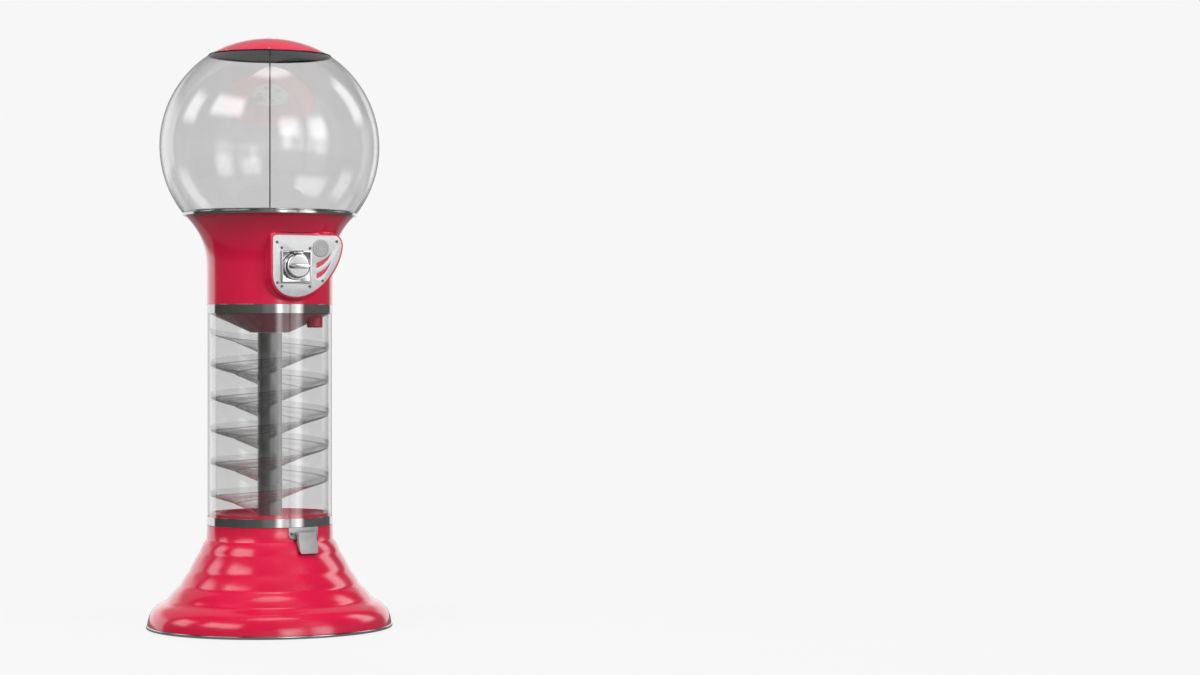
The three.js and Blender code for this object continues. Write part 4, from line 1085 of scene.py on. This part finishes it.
def make_globe():
    low, high = span("globe", 2)
    centre = low + math.sqrt(GLOBE_R**2 - GLOBE_SEAT_R**2)
    outer = arc(GLOBE_R, centre, low, high, 72)
    inner = arc(GLOBE_R - 3 * MM, centre, low, high, 72)
    globe = turned("globe_shell", [*outer, *reversed(inner)], globe_clear, FINEST)
    place(globe, "cabinet", "globe", slot="clear_globe")

    low, high = span("globe_ring", 2)
    edge = radius_of("globe_ring")
    ring_top = foot_of("globe") - GAP
    sill = top_of("hopper_tray") + GAP
    rim = radius_of("hopper_tray") + 0.4 * MM
    outline = [
        (rim - 6.4 * MM, sill),
        (rim, sill),
        (rim, low),
        (edge, low),
        (edge, ring_top),
        (edge - 7.4 * MM, ring_top),
        (edge - 7.4 * MM, high),
        (rim - 6.4 * MM, high),
    ]
    ring = turned("globe_ring_skin", rounded(outline, 1.5 * MM, 4), chrome, FINEST)
    place(ring, "cabinet", "globe_ring", slot="chrome_plate")

    low, high = span("center_rod", 2)
    r = radius_of("center_rod") * ROD_SHARE
    rod = turned("rod", rounded(hoop(0, r, low, high), 0.6 * MM, 2), brushed, 32)
    place(rod, "cabinet", "center_rod", slot="brushed_post")


def make_lid():
    low, high = span("lid_dome", 2)
    rim = radius_of("lid_liner")
    rise = high - low
    sphere = (rim**2 + rise**2) / (2 * rise)
    centre = high - sphere
    hole = 11.4 * MM
    wall = 2.5 * MM
    outer = [p for p in arc(sphere, centre, low + 1.2 * MM, high, 40) if p[0] > hole]
    inner = [p for p in arc(sphere - wall, centre, low, high - wall, 24) if p[0] > hole]
    top = centre + math.sqrt(sphere**2 - hole**2)
    outline = [(rim - 0.4 * MM, low), *outer, (hole, top), (hole, top - wall), *reversed(inner)]
    dome = turned("lid_skin", outline, red_enamel, FINEST)
    place(dome, "lid", "lid_dome", slot="red_paint")

    rivets = []
    seat = rim - 4 * MM
    seat_z = centre + math.sqrt(sphere**2 - seat**2)
    head = [(0, 1.6 * MM), (1.8 * MM, 1.2 * MM), (2.8 * MM, 0.2 * MM), (2.9 * MM, -0.6 * MM),
            (0, -0.6 * MM)]
    for k in range(LID_RIVETS):
        turn = math.radians(STUDIO_AZIMUTH) + 2 * math.pi * k / LID_RIVETS
        foot = (seat * math.sin(turn), -seat * math.cos(turn), seat_z)
        tilt = (math.asin(seat / sphere), 0, turn)
        rivets.append(posed(turned("rivet", head, chrome, 24), tilt, foot))
    place(joined("lid_rivets", rivets), "lid", slot="steel_fastener")

    for node, name, hole, looks, slot, sides in (
        ("lid_liner", "liner_disc", 3.6 * MM, mirror_steel, "mirror_steel", FINEST),
        ("lid_gasket", "gasket", radius_of("lid_gasket") - 9 * MM, rubber, "black_rubber", FINE),
    ):
        low, high = span(node, 2)
        r = radius_of(node)
        outline = rounded(hoop(hole, r, low, high), 0.5 * MM, 2)
        place(turned(name, outline, looks, sides), "lid", node, slot=slot)


# ---- finishes of the kept CAD pieces
NODE_LOOKS = {
    "red_paint": red_enamel,
    "chrome_plate": chrome,
    "mirror_steel": mirror_steel,
    "clear_ramp": ramp_clear,
    "clear_tube": tube_clear,
    "clear_globe": globe_clear,
    "plate_aluminium": spangle,
    "cast_aluminium": cast,
    "white_plastic": white_plastic,
    "black_plastic": black_plastic,
    "black_rubber": rubber,
    "iron_plate": iron,
    "zinc_plate": zinc,
    "brass": brass,
    "brushed_post": brushed,
    "steel_fastener": screw_steel,
}


def dress_nodes():
    for part in frame["record"]["subparts"]:
        node = frame["nodes"][part["node"]]
        node.data.materials.clear()
        node.data.materials.append(NODE_LOOKS[part["material_slot"]])


# ---- stage, light and camera
BACKGROUND = 0.93
FLOOR_GLOW = 0.85  # what the floor gives off to the camera, which with its own shade is BACKGROUND
FLOOR_SHINE = 0.12  # what glossy paint sees of it


def make_floor():
    """A pale disc that shades a little near the object and fades into the background."""
    material, tree, output = new_material("floor_paint")
    pale = add_node(tree, "ShaderNodeBsdfDiffuse")
    levels = [(0.3, grey(0.058)), (0.7, grey(0.062))]
    tree.links.new(ramp(tree, noise(tree, 3.0), levels), pale.inputs["Color"])
    rays = tree.nodes.new("ShaderNodeLightPath")
    glow = add_node(tree, "ShaderNodeEmission", Strength=1.0)
    levels = [(0.0, grey(FLOOR_SHINE)), (1.0, grey(FLOOR_GLOW))]
    tree.links.new(ramp(tree, rays.outputs["Is Camera Ray"], levels), glow.inputs["Color"])
    both = add_node(tree, "ShaderNodeAddShader")
    tree.links.new(glow.outputs["Emission"], both.inputs[0])
    tree.links.new(pale.outputs["BSDF"], both.inputs[1])
    far = add_node(tree, "ShaderNodeEmission", Strength=1.0)
    levels = [(0.0, grey(FLOOR_SHINE)), (1.0, grey(BACKGROUND))]
    tree.links.new(ramp(tree, rays.outputs["Is Camera Ray"], levels), far.inputs["Color"])
    coords = tree.nodes.new("ShaderNodeTexCoord")
    reach = add_node(tree, "ShaderNodeVectorMath", operation="LENGTH")
    tree.links.new(coords.outputs["Object"], reach.inputs[0])
    fade = add_node(tree, "ShaderNodeMapRange")
    fade.inputs["From Min"].default_value = 0.5
    fade.inputs["From Max"].default_value = 2.2
    tree.links.new(reach.outputs["Value"], fade.inputs["Value"])
    mixed = add_node(tree, "ShaderNodeMixShader")
    tree.links.new(fade.outputs["Result"], mixed.inputs["Fac"])
    tree.links.new(both.outputs["Shader"], mixed.inputs[1])
    tree.links.new(far.outputs["Emission"], mixed.inputs[2])
    tree.links.new(mixed.outputs["Shader"], output.inputs["Surface"])
    r = 2.4
    turns = [t * math.pi / 32 for t in range(64)]
    points = [(r * math.cos(t), r * math.sin(t), -0.2 * MM) for t in turns]
    floor = add_mesh("studio_floor", points, [list(range(64))], material, smooth=False)


SOFTBOXES = [  # turn from the camera's side, height, half-width and half-height in degrees, level
    (-99, 28, 10, 10, 2.0),
    (-52, 36, 20, 9, 2.2),
    (20, 17, 10, 9, 1.6),
    (52, 16, 9, 10, 1.6),
    (114, 30, 9, 14, 2.0),
    (10, 80, 60, 7, 1.6),
    (18, 5, 4, 10, 1.2),
    (53, 0, 5, 10, 0.7),
]


def soft_edge(tree, value, half, blur):
    """1 inside the half-width and 0 outside it, with a smooth edge."""
    node = add_node(tree, "ShaderNodeMapRange", interpolation_type="SMOOTHSTEP")
    limits = {"From Min": half - blur, "From Max": half + blur, "To Min": 1, "To Max": 0}
    for key, limit in limits.items():
        node.inputs[key].default_value = limit
    tree.links.new(value, node.inputs["Value"])
    return node.outputs["Result"]


def mix_colors(tree, blend, a, b):
    node = add_node(tree, "ShaderNodeMixRGB", blend_type=blend, Fac=1)
    tree.links.new(a, node.inputs["Color1"])
    tree.links.new(b, node.inputs["Color2"])
    return node.outputs["Color"]


def make_world():
    """White studio walls behind the object and dim ones in front, with softbox strips."""
    world = bpy.data.worlds.new("studio")
    bpy.context.scene.world = world
    world.use_nodes = True
    tree = world.node_tree
    tree.nodes.clear()
    output = tree.nodes.new("ShaderNodeOutputWorld")
    coords = tree.nodes.new("ShaderNodeTexCoord")
    parts = tree.nodes.new("ShaderNodeSeparateXYZ")
    tree.links.new(coords.outputs["Generated"], parts.inputs["Vector"])
    forward = math_node(tree, "MULTIPLY", parts.outputs["Y"], -1)
    turn = math_node(tree, "ARCTAN2", parts.outputs["X"], forward)
    # The direction's turn from the front, shifted so that the photographer's side is 0.5.
    share = math_node(tree, "MULTIPLY_ADD", turn, 1 / (2 * math.pi), 0.5 - STUDIO_AZIMUTH / 360)
    wrapped = math_node(tree, "FRACT", share)
    walls = ramp(tree, wrapped, [
        (0.0, grey(1.0)),
        (0.16, grey(1.0)),
        (0.172, (0.062, 0.068, 0.058)),
        (0.33, (0.085, 0.09, 0.08)),
        (0.455, (0.12, 0.125, 0.118)),
        (0.475, grey(0.2)),
        (0.52, grey(0.24)),
        (0.535, grey(0.7)),
        (0.594, grey(0.8)),
        (0.601, grey(0.42)),
        (0.606, grey(0.42)),
        (0.613, grey(0.95)),
        (0.665, grey(0.85)),
        (0.682, grey(0.13)),
        (0.885, grey(0.12)),
        (0.905, grey(1.0)),
        (1.0, grey(1.0)),
    ])
    # The walls end above, and below the horizon the floor's own tone takes over.
    height = math_node(tree, "MULTIPLY_ADD", parts.outputs["Z"], 0.5, 0.5)
    rise = ramp(tree, height, [
        (0.0, grey(0.2)),
        (0.42, grey(0.3)),
        (0.46, grey(1.0)),
        (0.65, grey(1.0)),
        (0.71, grey(0.3)),
        (1.0, grey(0.22)),
    ])
    total = mix_colors(tree, "MULTIPLY", walls, rise)
    up = math_node(tree, "ARCSINE", parts.outputs["Z"])
    for azimuth, height, half_width, half_height, level in SOFTBOXES:
        across = math_node(tree, "SUBTRACT", wrapped, 0.5 + azimuth / 360)
        across = math_node(tree, "ABSOLUTE", across)
        above = math_node(tree, "ABSOLUTE", math_node(tree, "SUBTRACT", up, math.radians(height)))
        wide = soft_edge(tree, across, half_width / 360, min(5, half_width) / 360)
        tall = soft_edge(tree, above, math.radians(half_height), math.radians(5))
        patch = math_node(tree, "MULTIPLY", math_node(tree, "MULTIPLY", wide, tall), level)
        total = mix_colors(tree, "ADD", total, patch)
    for_light = add_node(tree, "ShaderNodeBackground", Strength=1.0)
    tree.links.new(total, for_light.inputs["Color"])
    for_eye = add_node(tree, "ShaderNodeBackground", Color=(*grey(BACKGROUND), 1))
    rays = tree.nodes.new("ShaderNodeLightPath")
    pick = tree.nodes.new("ShaderNodeMixShader")
    tree.links.new(rays.outputs["Is Camera Ray"], pick.inputs["Fac"])
    tree.links.new(for_light.outputs["Background"], pick.inputs[1])
    tree.links.new(for_eye.outputs["Background"], pick.inputs[2])
    tree.links.new(pick.outputs["Shader"], output.inputs["Surface"])


def add_light(name, azimuth, distance, height, width, tall, power):
    """A softbox that lights the object but shows in no reflection."""
    data = bpy.data.lights.new(name, "AREA")
    data.shape = "RECTANGLE"
    data.size = width
    data.size_y = tall
    data.energy = power
    light = bpy.data.objects.new(name, data)
    bpy.context.scene.collection.objects.link(light)
    a = math.radians(azimuth)
    light.location = (distance * math.sin(a), -distance * math.cos(a), height)
    aim = Vector((0, 0, 0.8)) - light.location
    light.rotation_euler = aim.to_track_quat("-Z", "Y").to_euler()
    light.visible_glossy = False


def make_camera():
    azimuth = math.radians(STUDIO_AZIMUTH)
    distance = 6.555
    data = bpy.data.cameras.new("camera")
    data.lens = 80
    data.sensor_width = 36
    camera = bpy.data.objects.new("camera", data)
    bpy.context.scene.collection.objects.link(camera)
    camera.location = (distance * math.sin(azimuth), -distance * math.cos(azimuth), 0.706)
    camera.rotation_euler = (math.pi / 2, 0, azimuth - math.radians(7.056))
    bpy.context.scene.camera = camera


make_camera()
make_base()
make_deck()
make_door()
make_bands()
make_tube()
make_ramp()
make_hopper()
make_tray()
make_funnel()
make_panel()
make_coin_mechanism()
make_globe()
make_lid()
dress_nodes()
make_floor()
make_world()
add_light("key", -75, 3.4, 2.6, 2.0, 2.0, 85)
add_light("fill", 25, 3.6, 2.4, 2.0, 2.0, 85)
add_light("back", 160, 3.0, 2.6, 2.0, 1.6, 60)
add_light("top", -20, 0.8, 4.0, 2.4, 2.4, 70)

bpy.context.scene.view_settings.view_transform = "Standard"
